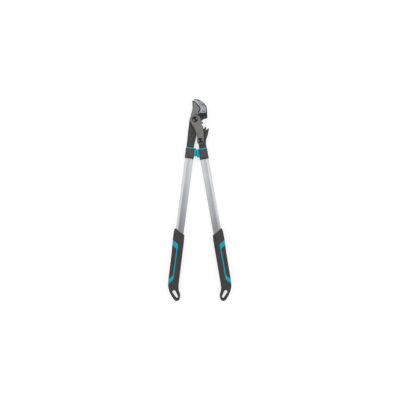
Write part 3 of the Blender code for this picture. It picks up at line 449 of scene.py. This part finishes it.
def tubeFinish(side):
    # aluminium tube, drawn and satin anodised: pale silver with soft streaks along its length
    marks = tubePaintedLight[side]
    outerSide = [onHandle(side, marks["highlightAt"], w, 0.0)[:2] for w in highlightRun]
    # painted shade towards the grips, and a painted highlight along the outer side
    spots = [(*tubeShadeAcross, *marks["paintedShade"]), (*outerSide, *paintedHighlightLine)]
    if "extraPaintedShade" in marks:
        spots.append((*tubeShadeAcross, *marks["extraPaintedShade"]))
    return makeFinish("drawnAluminium" + side.capitalize(), {
        "colour": "#d4d6d9", "shade": "#cacdd0", "cloud": 30.0, "grain": 0.6, "relief": 0.01,
        "lines": (1.4, 260.0, handles[side]["lean"] - 90.0, 0.05), "roughness": (0.38, 0.46),
        "spots": spots, "sockets": {"Metallic": 0.9, "Anisotropic": 0.3}})


reflectionFullWithin = 0.4      # mm from a painted reflection's middle, in which its colour is full


def boltFinish(name, patches):
    # bolt steel, polished and black plated: blue-black gloss, with greyer patches that are painted
    # reflections of the lamps
    return makeFinish(name, {
        "colour": "#262838", "shade": "#1c1d2b", "cloud": 5.0, "grain": 0.6, "relief": 0.01,
        "spots": [(place, place, reflectionFullWithin, reach, wearAndPaintedLight) for place, reach, wearAndPaintedLight in patches],
        "roughness": (0.16, 0.28),
        "sockets": {"Metallic": 0.9, "Coat Weight": 0.4, "Coat Roughness": 0.12}})


print("finishes made")

# Places that the handles and the bolts share, in metres

handles = {
    "left": {"turn": -1, "lean": -7.4, "top": (-0.013157, -0.083448), "body": "left_lever"},
    "right": {"turn": 1, "lean": 10.1, "top": (0.021971, -0.085941), "body": "right_lever"},
}
axisHeight = 0.013
clearance = 0.0003
bolts = {"main": (0.0, 0.0), "lower": (0.015743, -0.064095)}
# painted reflections of the lamps on the heads: place from the bolt's middle, reach in mm, colour
boltPaintedReflections = {
    "main": [((-0.0032, -0.0034), 4.2, "#a4a6b2"), ((0.0048, 0.0012), 4.2, "#8a8c97")],
    "lower": [((-0.0048, -0.0006), 4.0, "#9a9ca8"), ((0.0052, 0.0019), 4.2, "#82848f"),
              ((0.0012, -0.0070), 2.8, "#8e909c")],
}


def onHandle(side, u, w, z):
    # u is out from the tube's axis, w is down it from the collar's top, z is up from it
    facts = handles[side]
    lean = math.radians(facts["lean"])
    x, y = facts["turn"] * u, -w
    return (facts["top"][0] + x * math.cos(lean) - y * math.sin(lean),
            facts["top"][1] + x * math.sin(lean) + y * math.cos(lean),
            axisHeight + z)


def handleRings(side, rings):
    return [[onHandle(side, *point) for point in ring] for ring in rings]


def squaredOval(steps, power):
    # an oval of width and height 2 with flattened sides, which touches them between two points
    fit = math.cos(math.pi / steps) ** (2 / power)
    loop = []
    for i in range(steps):
        angle = 2 * math.pi * (i + 0.5) / steps
        x, y = math.cos(angle), math.sin(angle)
        loop.append((math.copysign(abs(x) ** (2 / power) / fit, x),
                     math.copysign(abs(y) ** (2 / power) / fit, y)))
    return loop


# Blade

bladeShape = {
    "edgeRound": 0.00012,
    "roundPast": 50.0,              # degrees between two faces, past which their edge is rounded
    "sharpPast": 20.0,              # and past which it is shaded sharp
    "bevelTilt": (0.40, 0.9985),    # upward part of a bevelled face's normal
    "bevelFrom": 0.008,             # bevelled faces start this far up the blade
    "facet": (-0.0046, 0.0496),     # where the facet ground at the tip starts, on the blade's front
    "facetTurn": -12.0,             # degrees from straight across
    "facetFall": 14.0,              # degrees that it falls towards the tip
    "grinderSize": 0.04,
}


def makeBlade():
    facts = bladeShape
    piece = mergedCopy("blade")
    softEdges(piece, facts["edgeRound"], facts["roundPast"])
    front = max(point.co.z for point in piece.data.vertices)
    # a block that starts on the front at the facet's root and sinks below it towards the tip
    size = facts["grinderSize"]
    bpy.ops.mesh.primitive_cube_add(size=size, location=(0.0, size / 2, size / 2))
    grinder = justAdded()
    grinder.rotation_euler = (-math.radians(facts["facetFall"]), 0.0, math.radians(facts["facetTurn"]))
    grinder.location = (*facts["facet"], front)
    cutWith(piece, justAdded())
    shadeRound(piece, facts["sharpPast"])
    low, high = facts["bevelTilt"]

    def pick(face):
        if low < face.normal.z < high and face.center.y > facts["bevelFrom"]:
            return 1 if face.normal.x > 0 or face.center.y > facts["facet"][1] else 2
        return 0

    deliver(piece, "bladePlate", "head", ["blade"],
            [finishes["groundBladeSteel"], finishes["honedEdgePaintedShade"], finishes["slopedBackPaintedShade"]],
            pick)


makeBlade()

# Link plates

linkShape = {
    "sharpPast": 25.0,
    "flatTilt": 0.9,                # less upright faces are the blanked rims
}


def makeLink(nodeName, name):
    piece = mergedCopy(nodeName)
    shadeRound(piece, linkShape["sharpPast"])

    def pick(face):
        return 0 if abs(face.normal.z) > linkShape["flatTilt"] else 1

    deliver(piece, name, "head", [nodeName],
            [finishes["tumbledLinkSteel"], finishes["blankedRimPaintedShade"]], pick)


makeLink("front_link", "frontLinkPlate")
makeLink("rear_link", "rearLinkPlate")

# Levers

leverShape = {
    "edgeRound": 0.00012,
    "roundPast": 32.0,
    "sharpPast": 30.0,
    "groundFace": 0.0165,           # height of the face that is ground bright
    "groundTilt": 0.9,              # its faces are more upright than this
    "flatTilt": 0.98,               # of the others, less upright ones are the trimmed edges
    # start, end and width of the plain grooves on the ground face, shallower than its step
    "grooves": [((0.0192, 0.0405), (0.0290, 0.0474), 0.0022),
                ((0.0200, 0.0246), (0.0288, 0.0235), 0.0023),
                ((0.0070, 0.0574), (0.0130, 0.0552), 0.0031),
                ((0.0283, 0.0389), (0.0330, 0.0401), 0.0026)],
    "grooveDepth": 0.0002,
    "grooveCorner": 0.3,            # radius of its corners, as a share of its width
}


def cutGrooves(piece):
    facts = leverShape
    for start, end, width in facts["grooves"]:
        start, end = Vector(start), Vector(end)
        middle, along = (start + end) / 2, end - start
        bpy.ops.mesh.primitive_cube_add(size=1.0, location=(middle.x, middle.y, facts["groundFace"]),
                                        rotation=(0.0, 0.0, math.atan2(along.y, along.x)))
        bpy.context.object.scale = (along.length, width, 2 * facts["grooveDepth"])
        groove = justAdded()
        # its four upright edges are rounded
        openMesh(groove, "EDGE", lambda edge: climb(groove, edge) > tiny)
        bpy.ops.mesh.bevel(offset=width * facts["grooveCorner"], segments=4)
        closeMesh()
        cutWith(piece, groove)


def makeLever(nodeName, name, body):
    facts = leverShape
    piece = mergedCopy(nodeName)
    softEdges(piece, facts["edgeRound"], facts["roundPast"])
    if nodeName == "hook_lever":
        cutGrooves(piece)
    shadeRound(piece, facts["sharpPast"])

    def pick(face):
        ground = face.center.z > facts["groundFace"] - facts["grooveDepth"] / 4
        if ground and face.normal.z > facts["groundTilt"]:
            return 2
        return 0 if abs(face.normal.z) > facts["flatTilt"] else 1

    deliver(piece, name, body, [nodeName],
            [finishes["blackenedForging"], finishes["forgingEdgePaintedShade"],
             finishes["brightGroundSteel"]], pick)


makeLever("hook_lever", "hookLever", "left_lever")
makeLever("gear_lever", "gearLever", "right_lever")
print("blade, links and levers made")

# Bolts, nuts and bushes

boltShape = {
    "headRadius": 0.0085, "headLow": 0.0239, "headHeight": 0.0044,
    "rimRound": 0.0024,
    "crownWidth": 0.0021, "crownRise": 0.00018,     # of each of the two rings that raise the middle
    "slotWidth": 0.0024, "slotDepth": 0.0021, "slotAngle": -58.0,
    "shankRadius": 0.005, "endChamfer": 0.0009,
    "nutRadius": 0.0098, "nutHeight": 0.0059, "nutTurn": 15.0, "nutRound": 0.0004, "nutChamfer": 0.0011,
    "boreRadius": 0.0053,
    "levelTilt": 0.99,              # faces more upright than this lie level
    "sharpPast": 30.0,
}


def makeBolt(label):
    x, y = bolts[label]
    facts = boltShape
    headLow, slotTurn = facts["headLow"], math.radians(facts["slotAngle"])
    body = facts["headHeight"] - 2 * facts["crownRise"]
    bpy.ops.mesh.primitive_cylinder_add(vertices=64, radius=facts["headRadius"], depth=body,
                                        location=(x, y, headLow + body / 2))
    piece = justAdded()
    rim = headLow + body - tiny
    openMesh(piece, "EDGE", lambda edge: min(heights(piece, edge)) > rim)
    bpy.ops.mesh.bevel(offset=facts["rimRound"], segments=8, profile=0.5)
    closeMesh()
    # the middle of the head rises a little towards its centre
    level = facts["levelTilt"]
    openMesh(piece, "FACE", lambda face: face.normal.z > level and face.center.z > rim)
    bpy.ops.mesh.inset(thickness=facts["crownWidth"], depth=facts["crownRise"])
    bpy.ops.mesh.inset(thickness=facts["crownWidth"], depth=facts["crownRise"])
    closeMesh()
    # shank, down through the tool to the nut
    openMesh(piece, "FACE", lambda face: face.normal.z < -level)
    bpy.ops.mesh.inset(thickness=facts["headRadius"] - facts["shankRadius"])
    bpy.ops.mesh.extrude_region_move(TRANSFORM_OT_translate={"value": (0.0, 0.0, -headLow)})
    closeMesh()
    openMesh(piece, "EDGE", lambda edge: max(heights(piece, edge)) < tiny)
    bpy.ops.mesh.bevel(offset=facts["endChamfer"], segments=1)
    closeMesh()
    bpy.ops.mesh.primitive_cube_add(size=1.0, location=(x, y, headLow + facts["headHeight"]),
                                    rotation=(0.0, 0.0, slotTurn))
    bpy.context.object.scale = (3 * facts["headRadius"], facts["slotWidth"], 2 * facts["slotDepth"])
    cutWith(piece, justAdded())
    shadeRound(piece, facts["sharpPast"])

    def pick(face):
        across = (face.center.y - y) * math.cos(slotTurn) - (face.center.x - x) * math.sin(slotTurn)
        return 1 if face.center.z > headLow and abs(across) < facts["slotWidth"] / 2 + 2 * tiny else 0

    patches = [((x + a, y + b), reach, colour) for (a, b), reach, colour in boltPaintedReflections[label]]
    deliver(piece, label + "BoltSlotted", "head", [label + "_bolt"],
            [boltFinish(label + "BoltSteelPaintedReflections", patches), finishes["slotPaintedShadeSteel"]], pick)


def makeNut(label):
    x, y = bolts[label]
    facts = boltShape
    height, middle = facts["nutHeight"], (x, y, facts["nutHeight"] / 2)
    bpy.ops.mesh.primitive_cylinder_add(vertices=6, radius=facts["nutRadius"], depth=height,
                                        location=middle,
                                        rotation=(0.0, 0.0, math.radians(facts["nutTurn"])))
    piece = justAdded()
    openMesh(piece, "EDGE", lambda edge: climb(piece, edge) > tiny)
    bpy.ops.mesh.bevel(offset=facts["nutRound"], segments=3)
    closeMesh()
    # a round blank with chamfered rims, which takes off the nut's corners
    bpy.ops.mesh.primitive_cylinder_add(vertices=64, radius=facts["nutRadius"], depth=height,
                                        location=middle)
    turned = justAdded()
    openMesh(turned, "EDGE", lambda edge: climb(turned, edge) < tiny)
    bpy.ops.mesh.bevel(offset=facts["nutChamfer"], segments=1)
    closeMesh()
    cutWith(piece, turned, "INTERSECT")
    bpy.ops.mesh.primitive_cylinder_add(vertices=48, radius=facts["boreRadius"], depth=3 * height,
                                        location=middle)
    cutWith(piece, justAdded())
    shadeRound(piece, facts["sharpPast"])
    deliver(piece, label + "NutChamfered", "head", [label + "_nut"],
            [boltFinish(label + "NutSteel", [])])


for boltLabel in bolts:
    makeBolt(boltLabel)
    makeNut(boltLabel)
    refinish(boltLabel + "_bush", "sinteredBronze")
print("bolts and nuts made")

# Tubes, with the sleeve and pin inside each

tubeShape = {
    "width": 0.0245, "depth": 0.0170, "wall": 0.0016,
    "crease": 0.0041,               # from the axis towards the outer side
    "fullness": 0.75, "sweep": 65.0, "steps": 14,
    "start": 0.0062, "end": 0.3925,
    "boreSpare": 0.01,              # the bore's cutter reaches past both ends by this much
    "sharpPast": 60.0,
}


def tubeSection(grow=0.0):
    # from the outer side round the front, the inner side and the back, with a crease front and back
    facts = tubeShape
    width, depth = facts["width"] + 2 * grow, facts["depth"] + 2 * grow
    sweep = math.radians(facts["sweep"])
    quarter = [sweep * i / (facts["steps"] - 1) for i in range(facts["steps"])]

    def along(angle):
        return (math.cos(angle) - math.cos(sweep)) / (1 - math.cos(sweep))

    def height(angle):
        return depth / 2 * (math.sin(angle) / math.sin(sweep)) ** facts["fullness"]

    crease = facts["crease"]
    outer = [(crease + (width / 2 - crease) * along(t), height(t)) for t in quarter]
    inner = [(crease - (width / 2 + crease) * along(t), height(t)) for t in reversed(quarter[:-1])]
    front = outer + inner
    return front + [(u, -z) for u, z in reversed(front[1:-1])]


def tubeRings(side, grow, start, end):
    return handleRings(side, [[(u, w, z) for u, z in tubeSection(grow)] for w in (start, end)])


def makeTube(side):
    facts = tubeShape
    piece = rolledSheet("tube", tubeRings(side, 0.0, facts["start"], facts["end"]))
    bore = tubeRings(side, -facts["wall"], facts["start"] - facts["boreSpare"],
                     facts["end"] + facts["boreSpare"])
    cutWith(piece, rolledSheet("bore", bore))
    shadeRound(piece, facts["sharpPast"])
    # the two creases stay sharp
    crest = facts["depth"] / 2 - 10 * tiny
    openMesh(piece, "EDGE", lambda edge: min(abs(z - axisHeight) for z in heights(piece, edge)) > crest)
    bpy.ops.mesh.mark_sharp()
    closeMesh()
    deliver(piece, side + "TubeDrawn", handles[side]["body"], [side + "_tube"],
            [tubeFinish(side)])
    refinish(side + "_tang_insert", "mouldedNylon")
    refinish(side + "_tang_pin", "forgingEdgePaintedShade")


for handleSide in handles:
    makeTube(handleSide)
print("tubes made")

# Collars and bumpers

collarShape = {
    "width": 0.0272, "depth": 0.0212, "squareness": 3.0, "steps": 48,
    # down the collar, and how far it is drawn in there: a groove parts its lip from the rest
    "profile": [(0.0033, 0.0004), (0.0036, 0.00012), (0.0042, 0.0),
                (0.0286, 0.0), (0.0288, 0.0003), (0.0292, 0.0003), (0.0294, 0.0),
                (0.0321, 0.0), (0.0327, 0.00015), (0.03295, 0.0004), (0.0330, 0.0007)],
    "lipStart": 0.0289,
    "bore": (0.0059, 0.0344),       # from just above the tube's end to past the collar's
    "tangWidth": 0.0125, "tangDepth": 0.0070, "tangOffset": 0.0010,
    "tangSlot": (-0.0033, 0.0065),  # from above the trim down into the bore
    "collarSharpPast": 50.0,
    # the same for the trim over its top, from which the stop grows
    "trim": [(0.0, 0.0011), (0.00012, 0.0007), (0.0005, 0.0002), (0.0010, 0.0), (0.0028, 0.0),
             (0.0030, 0.0001)],
    "bumperPlane": 0.0046,          # across the tool, where the two stops meet
    "bumperTop": 0.0008, "bumperLength": 0.0245, "bumperDepth": 0.0130, "bumperRound": 0.0030,
    "bumperGap": 0.00004,
    "bumperRoot": 0.0008,           # the stop starts this far inside the collar's side
    "bumperHook": 0.0027,           # and inside the trim this far in and down
    "bumperSeat": 0.00005,          # clearance to the collar
    "bumperSeatRun": (0.0031, 0.0360),
    "bumperSharpPast": 45.0,
    # across the bumper's thickness, and how far its outline is drawn in there
    "bumperProfile": [(-1.0, 0.0016), (-0.96, 0.0010), (-0.86, 0.0004), (-0.7, 0.0001), (-0.5, 0.0),
                      (0.5, 0.0), (0.7, 0.0001), (0.86, 0.0004), (0.96, 0.0010), (1.0, 0.0016)],
}


def collarRings(side, profile):
    facts = collarShape
    unit = squaredOval(facts["steps"], facts["squareness"])
    return handleRings(side, [[(u * (facts["width"] / 2 - drawn), w, z * (facts["depth"] / 2 - drawn))
                               for u, z in unit] for w, drawn in profile])


def tangSlot(side):
    facts = collarShape
    half, depth = facts["tangWidth"] / 2 + clearance, facts["tangDepth"] / 2 + clearance
    low, high = facts["tangOffset"] - half, facts["tangOffset"] + half
    corners = [(low, -depth), (high, -depth), (high, depth), (low, depth)]
    rings = [[(u, w, z) for u, z in corners] for w in facts["tangSlot"]]
    return rolledSheet("slot", handleRings(side, rings))


def makeCollar(side):
    facts = collarShape
    piece = rolledSheet("collar", collarRings(side, facts["profile"]))
    cutWith(piece, rolledSheet("bore", tubeRings(side, clearance, *facts["bore"])))
    cutWith(piece, tangSlot(side))
    shadeRound(piece, facts["collarSharpPast"])
    lip = Vector(onHandle(side, 0.0, facts["lipStart"], 0.0))
    down = (Vector(onHandle(side, 0.0, 1.0, 0.0)) - lip).normalized()

    def pick(face):
        return 1 if (face.center - lip).dot(down) > 0 else 0

    deliver(piece, side + "CollarMoulded", handles[side]["body"], [side + "_collar"],
            [finishes["mouldedNylon"], finishes["lipPaintedShadeNylon"]], pick)


def bumperOutline(side):
    # the stop from the front, as (u, w): a D whose flat side meets the other stop
    facts = collarShape
    hook = facts["bumperHook"]
    near = -facts["width"] / 2 + facts["bumperRoot"]
    root = -facts["width"] / 2 + hook
    turn = handles[side]["turn"]
    lean = math.radians(handles[side]["lean"])
    plane = facts["bumperPlane"] + turn * facts["bumperGap"] / 2 - handles[side]["top"][0]

    def faceAt(w):
        return turn * (plane - w * math.sin(lean)) / math.cos(lean)

    top, low = facts["bumperTop"], facts["bumperLength"]
    free = roundedPath([(root, top), (faceAt(top), top), (faceAt(low), low), (near, low)],
                       facts["bumperRound"])
    # only the points on its free sides are drawn in
    return free + [(near, hook), (root, hook)], [0.0] + [1.0] * (len(free) - 2) + [0.0, 0.0, 0.0]


def makeBumper(side):
    facts = collarShape
    piece = rolledSheet("trim", collarRings(side, facts["trim"]))
    outline, shares = bumperOutline(side)
    rings = []
    for z, drawn in facts["bumperProfile"]:
        loop = drawnIn(outline, [drawn * share for share in shares])
        rings.append([(u, w, z * facts["bumperDepth"] / 2) for u, w in loop])
    cutWith(piece, rolledSheet("pad", handleRings(side, rings)), "UNION")
    # the stop is shaped to the collar that it leans on
    seat = collarRings(side, [(w, -facts["bumperSeat"]) for w in facts["bumperSeatRun"]])
    cutWith(piece, rolledSheet("seat", seat))
    cutWith(piece, tangSlot(side))
    shadeRound(piece, facts["bumperSharpPast"])
    deliver(piece, side + "BumperMoulded", handles[side]["body"], [side + "_bumper"],
            [finishes["tealTrimRubber"]])


for handleSide in handles:
    makeCollar(handleSide)
    makeBumper(handleSide)
print("collars and bumpers made")

# Grips

gripShape = {
    "depth": 0.0256, "squareness": 2.5, "steps": 44,
    "between": 4,                   # rings for each rib
    "inside": 0.00005,              # all of it is drawn in by this much, to stay inside the frame
    # ribs: past the tube's inner side, how far down, past its outer side, how far down, share of the depth
    "ribs": [(0.00285, 0.2600, 0.00335, 0.2432, 0.86), (0.00375, 0.2690, 0.00475, 0.2545, 0.95),
             (0.00435, 0.2860, 0.00515, 0.2750, 1.00), (0.00455, 0.3160, 0.00345, 0.3100, 1.00),
             (0.00485, 0.3500, 0.00285, 0.3500, 1.00), (0.00505, 0.3840, 0.00265, 0.3860, 1.00),
             (0.00525, 0.4040, 0.00205, 0.4080, 0.97), (0.00615, 0.4170, -0.00005, 0.4200, 0.90),
             (0.00855, 0.4265, -0.00535, 0.4328, 0.81), (0.01230, 0.4331, -0.01225, 0.4432, 0.74),
             (0.01405, 0.4410, -0.01985, 0.4522, 0.69), (0.01355, 0.4486, -0.02505, 0.4562, 0.64),
             (0.01215, 0.4532, -0.02785, 0.4571, 0.55), (0.00965, 0.4559, -0.02985, 0.4570, 0.38)],
    # how far along from the top, and how far drawn in there
    "topRound": [(0.0, 0.00055), (0.00012, 0.00025), (0.0005, 0.00005)],
    "endReach": 0.0016, "endDrawn": 0.0017,     # its end is rounded over this length, by this much
    "socketTop": 0.2200, "socketSpare": 0.0015,
    "seatDepth": 0.0017,            # of the recess for the band and the pad
    "padRise": 0.00012,             # the pad stands this much proud of the shell
    # the band frames the pad: an arm at the top, a line down the middle and an arm at the bottom
    "line": -0.0005, "lineWidth": 0.0030, "bandWidth": 0.0152, "bandRound": 0.0080,
    "bandEdge": 0.0165, "bandTop": 0.2783, "topSlope": 31.0, "bandBottom": 0.4140, "bottomSlope": 50.0,
    "reach": 0.0300, "zoneHalf": 0.02,          # cutters of band and pad go out and through this far
    "eyeTop": (-0.0067, 0.4312), "eyeTopRadius": 0.0051,
    "eyeLow": (-0.0168, 0.4440), "eyeLowRadius": 0.0034, "eyeStep": 12.0,
    # up from the middle, and how far the eye opens out there
    "eyeFlare": [(0.0055, 0.0), (0.0068, 0.0002), (0.0078, 0.0007), (0.0088, 0.0015), (0.0100, 0.0027),
                 (0.0140, 0.0070)],
    "sharpPast": 40.0,
}


def gripRings(side, shrink=0.0):
    # the grip's own form with rounded ends, or with shrink the same form drawn in all along
    facts = gripShape
    half = tubeShape["width"] / 2
    places = []
    for inside, innerW, outside, outerW, share in smoothPath(facts["ribs"], facts["between"]):
        inner, outer = Vector((-half - inside, innerW)), Vector((half + outside, outerW))
        places.append(((inner + outer) / 2, (outer - inner) / 2, facts["depth"] / 2 * share))
    unit = squaredOval(facts["steps"], facts["squareness"])

    def ring(middle, reach, depth, drawn):
        reach = reach.normalized() * (reach.length - drawn)
        return [(middle.x + reach.x * c, middle.y + reach.y * c, (depth - drawn) * s) for c, s in unit]

    def roundedOff(middle):
        left = min(1.0, (places[-1][0] - middle).length / facts["endReach"])
        return facts["inside"] + facts["endDrawn"] * (1.0 - math.sqrt(1.0 - (1.0 - left) ** 2))

    if shrink:
        return handleRings(side, [ring(*place, shrink) for place in places])
    topMiddle, topReach, topDepth = places[0]
    down = (places[1][0] - topMiddle).normalized()
    rings = [ring(topMiddle + down * away, topReach, topDepth, drawn)
             for away, drawn in facts["topRound"]]
    rings += [ring(*place, roundedOff(place[0])) for place in places[1:]]
    return handleRings(side, rings)


def bandPath(line, top, bottom, margin=0.0):
    # one side of the coloured band: in along its upper arm, down its line, out along its lower arm
    facts = gripShape
    topSlope, bottomSlope = math.radians(facts["topSlope"]), math.radians(facts["bottomSlope"])
    top += margin / math.cos(topSlope)
    bottom -= margin / math.cos(bottomSlope)
    line += margin
    edge, reach = facts["bandEdge"], facts["reach"]
    corners = [(reach, top + (edge - reach) * math.tan(topSlope)),
               (line, top + (edge - line) * math.tan(topSlope)),
               (line, bottom - (edge - line) * math.tan(bottomSlope)),
               (reach, bottom - (edge - reach) * math.tan(bottomSlope))]
    return roundedPath(corners, facts["bandRound"])


def zonePrism(side, path):
    # everything within a path, from behind the grip to in front of it
    half = gripShape["zoneHalf"]
    return rolledSheet("zone", handleRings(side, [[(u, w, z) for u, w in path] for z in (-half, half)]))


def eyeCutter(side):
    # a teardrop round two circles, which opens out towards the front and the back
    facts = gripShape
    top, low = Vector(facts["eyeTop"]), Vector(facts["eyeLow"])
    topRadius, lowRadius, step = facts["eyeTopRadius"], facts["eyeLowRadius"], facts["eyeStep"]
    along = low - top
    heading = math.degrees(math.atan2(along.y, along.x))
    spread = math.degrees(math.acos((topRadius - lowRadius) / along.length))
    flare = facts["eyeFlare"]
    rings = []
    for z, grow in [(-z, grow) for z, grow in reversed(flare)] + flare:
        outline = arcPoints(top, topRadius + grow, heading + spread, heading + 360.0 - spread, step)
        outline += arcPoints(low, lowRadius + grow, heading - spread, heading + spread, step)
        rings.append([(u, w, z) for u, w in outline])
    return rolledSheet("eye", handleRings(side, rings))


def makeGrip(side):
    facts = gripShape
    body = handles[side]["body"]
    line, top, bottom = facts["line"], facts["bandTop"], facts["bandBottom"]
    palmSide = (line + facts["lineWidth"], top + facts["bandWidth"], bottom - facts["bandWidth"])

    core = rolledSheet("core", gripRings(side))
    recess = zonePrism(side, bandPath(line, top, bottom))
    cutWith(recess, rolledSheet("floor", gripRings(side, facts["seatDepth"])))
    cutWith(core, recess)
    socketEnd = tubeShape["end"] + facts["socketSpare"]
    cutWith(core, rolledSheet("socket", tubeRings(side, clearance, facts["socketTop"], socketEnd)))
    cutWith(core, eyeCutter(side))
    shadeRound(core, facts["sharpPast"])
    deliver(core, side + "GripShell", body, [side + "_grip_core"],
            [finishes["mouldedGripShell"]])

    seatDepth = facts["seatDepth"] - clearance
    inlay = rolledSheet("inlay", gripRings(side))
    outside = bandPath(line, top, bottom, clearance)
    inside = bandPath(*palmSide)
    cutWith(inlay, zonePrism(side, outside + list(reversed(inside))), "INTERSECT")
    cutWith(inlay, rolledSheet("seat", gripRings(side, seatDepth)))
    shadeRound(inlay, facts["sharpPast"])
    deliver(inlay, side + "GripBand", body, [side + "_grip_inlay"],
            [finishes["tealTrimRubber"]])

    pad = rolledSheet("pad", gripRings(side, -facts["padRise"]))
    cutWith(pad, zonePrism(side, bandPath(*palmSide, clearance)), "INTERSECT")
    cutWith(pad, rolledSheet("seat", gripRings(side, seatDepth)))
    shadeRound(pad, facts["sharpPast"])
    deliver(pad, side + "PalmPad", body, [side + "_grip_pad"],
            [finishes["softPalmRubber"]])


for handleSide in handles:
    makeGrip(handleSide)
print("grips made")

# Floor, light and camera

studio = {
    "floorDrop": 0.0002, "floorSize": 40.0,
    # the floor's white for bouncing light, and the lit and glowing parts of what the camera sees of it
    "floorBounce": 0.45, "floorLit": 0.30, "floorGlow": 0.74,
    # what mirrors and the camera see of the room: white low down, then its walls, then a dimmer ceiling
    "horizon": 1.0, "horizonBand": (0.05, 0.25), "wall": 0.80,
    "ceiling": 0.58, "ceilingBand": (0.72, 0.96),
    # what the room gives as light, from near the floor and from halfway up
    "lowLight": 0.42, "highLight": 0.92, "halfway": 0.5,
    # place, what it points at, width, length, power
    "lamps": {"leftStrip": ((-1.6, 0.1, 1.2), (0.0, -0.1, 0.0), 0.6, 2.2, 4.0),
              "rightStrip": ((1.6, 0.1, 1.2), (0.0, -0.1, 0.0), 0.6, 2.2, 4.0),
              "headPanel": ((0.1, 0.9, 1.1), (0.0, -0.1, 0.0), 1.2, 0.6, 3.0)},
    # the camera's picture: its middle and width in the plane of the levers
    "centre": (0.0148, -0.2393), "width": 1.1868, "plane": 0.013, "lens": 100.0, "sensor": 36.0,
    "farEnd": 100.0,
}


def seenRays(tree):
    # one for what the camera, a mirror or glass looks at, and nought for light that bounces
    rays = node(tree, "LightPath").outputs
    seen = node(tree, "Math", {0: rays["Is Camera Ray"], 1: rays["Is Glossy Ray"]},
                operation="ADD").outputs[0]
    return node(tree, "Math", {0: seen, 1: rays["Is Transmission Ray"]}, operation="ADD",
                use_clamp=True).outputs[0]


def grey(level):
    return (level, level, level, 1.0)


def makeFloor():
    bpy.ops.mesh.primitive_plane_add(size=studio["floorSize"], location=(0.0, 0.0, -studio["floorDrop"]))
    floor = justAdded()
    floor.name = "floor"
    material = bpy.data.materials.new("paleFloor")
    material.use_nodes = True
    tree = material.node_tree
    tree.nodes.clear()
    # lit paper for what bounces off it, and nearly all its own white for what looks at it
    paper = node(tree, "BsdfDiffuse", {"Color": grey(studio["floorBounce"])}).outputs[0]
    faint = node(tree, "BsdfDiffuse", {"Color": grey(studio["floorLit"])}).outputs[0]
    glow = node(tree, "Emission", {"Color": grey(1.0), "Strength": studio["floorGlow"]}).outputs[0]
    white = node(tree, "AddShader", {0: faint, 1: glow}).outputs[0]
    mixed = node(tree, "MixShader", {0: seenRays(tree), 1: paper, 2: white}).outputs[0]
    node(tree, "OutputMaterial", {"Surface": mixed})
    floor.data.materials.append(material)


def makeLight():
    world = bpy.data.worlds.new("studio")
    bpy.context.scene.world = world
    world.use_nodes = True
    tree = world.node_tree
    tree.nodes.clear()
    sky = node(tree, "TexCoord").outputs["Generated"]
    height = node(tree, "SeparateXYZ", {0: sky}).outputs["Z"]
    wallLow, wallHigh = studio["horizonBand"]
    wall = node(tree, "MapRange", {"Value": height, "From Min": wallLow, "From Max": wallHigh,
                                   "To Min": studio["horizon"],
                                   "To Max": studio["wall"]}).outputs["Result"]
    ceilingLow, ceilingHigh = studio["ceilingBand"]
    dimming = node(tree, "MapRange", {"Value": height, "From Min": ceilingLow, "From Max": ceilingHigh,
                                      "To Min": 1.0,
                                      "To Max": studio["ceiling"] / studio["wall"]}).outputs["Result"]
    room = node(tree, "Math", {0: wall, 1: dimming}, operation="MULTIPLY").outputs[0]
    light = node(tree, "MapRange", {"Value": height, "From Min": 0.0, "From Max": studio["halfway"],
                                    "To Min": studio["lowLight"],
                                    "To Max": studio["highLight"]}).outputs["Result"]
    strength = node(tree, "Mix", {0: seenRays(tree), 2: light, 3: room}, data_type="FLOAT").outputs[0]
    background = node(tree, "Background", {"Color": grey(1.0), "Strength": strength}).outputs[0]
    node(tree, "OutputWorld", {"Surface": background})
    for name, (place, target, width, length, power) in studio["lamps"].items():
        heading = (Vector(target) - Vector(place)).to_track_quat("-Z", "Y").to_euler()
        bpy.ops.object.light_add(type="AREA", location=place, rotation=heading)
        lamp = bpy.context.object
        lamp.name = name
        lamp.data.shape = "RECTANGLE"
        lamp.data.size = width
        lamp.data.size_y = length
        lamp.data.energy = power
        lamp.visible_camera = False


def makeCamera():
    distance = studio["width"] * studio["lens"] / studio["sensor"]
    bpy.ops.object.camera_add(location=(*studio["centre"], studio["plane"] + distance))
    camera = bpy.context.object
    camera.data.lens = studio["lens"]
    camera.data.sensor_width = studio["sensor"]
    camera.data.clip_end = studio["farEnd"]
    bpy.context.scene.camera = camera
    bpy.context.scene.view_settings.view_transform = "Standard"


makeFloor()
makeLight()
makeCamera()
print("studio made")
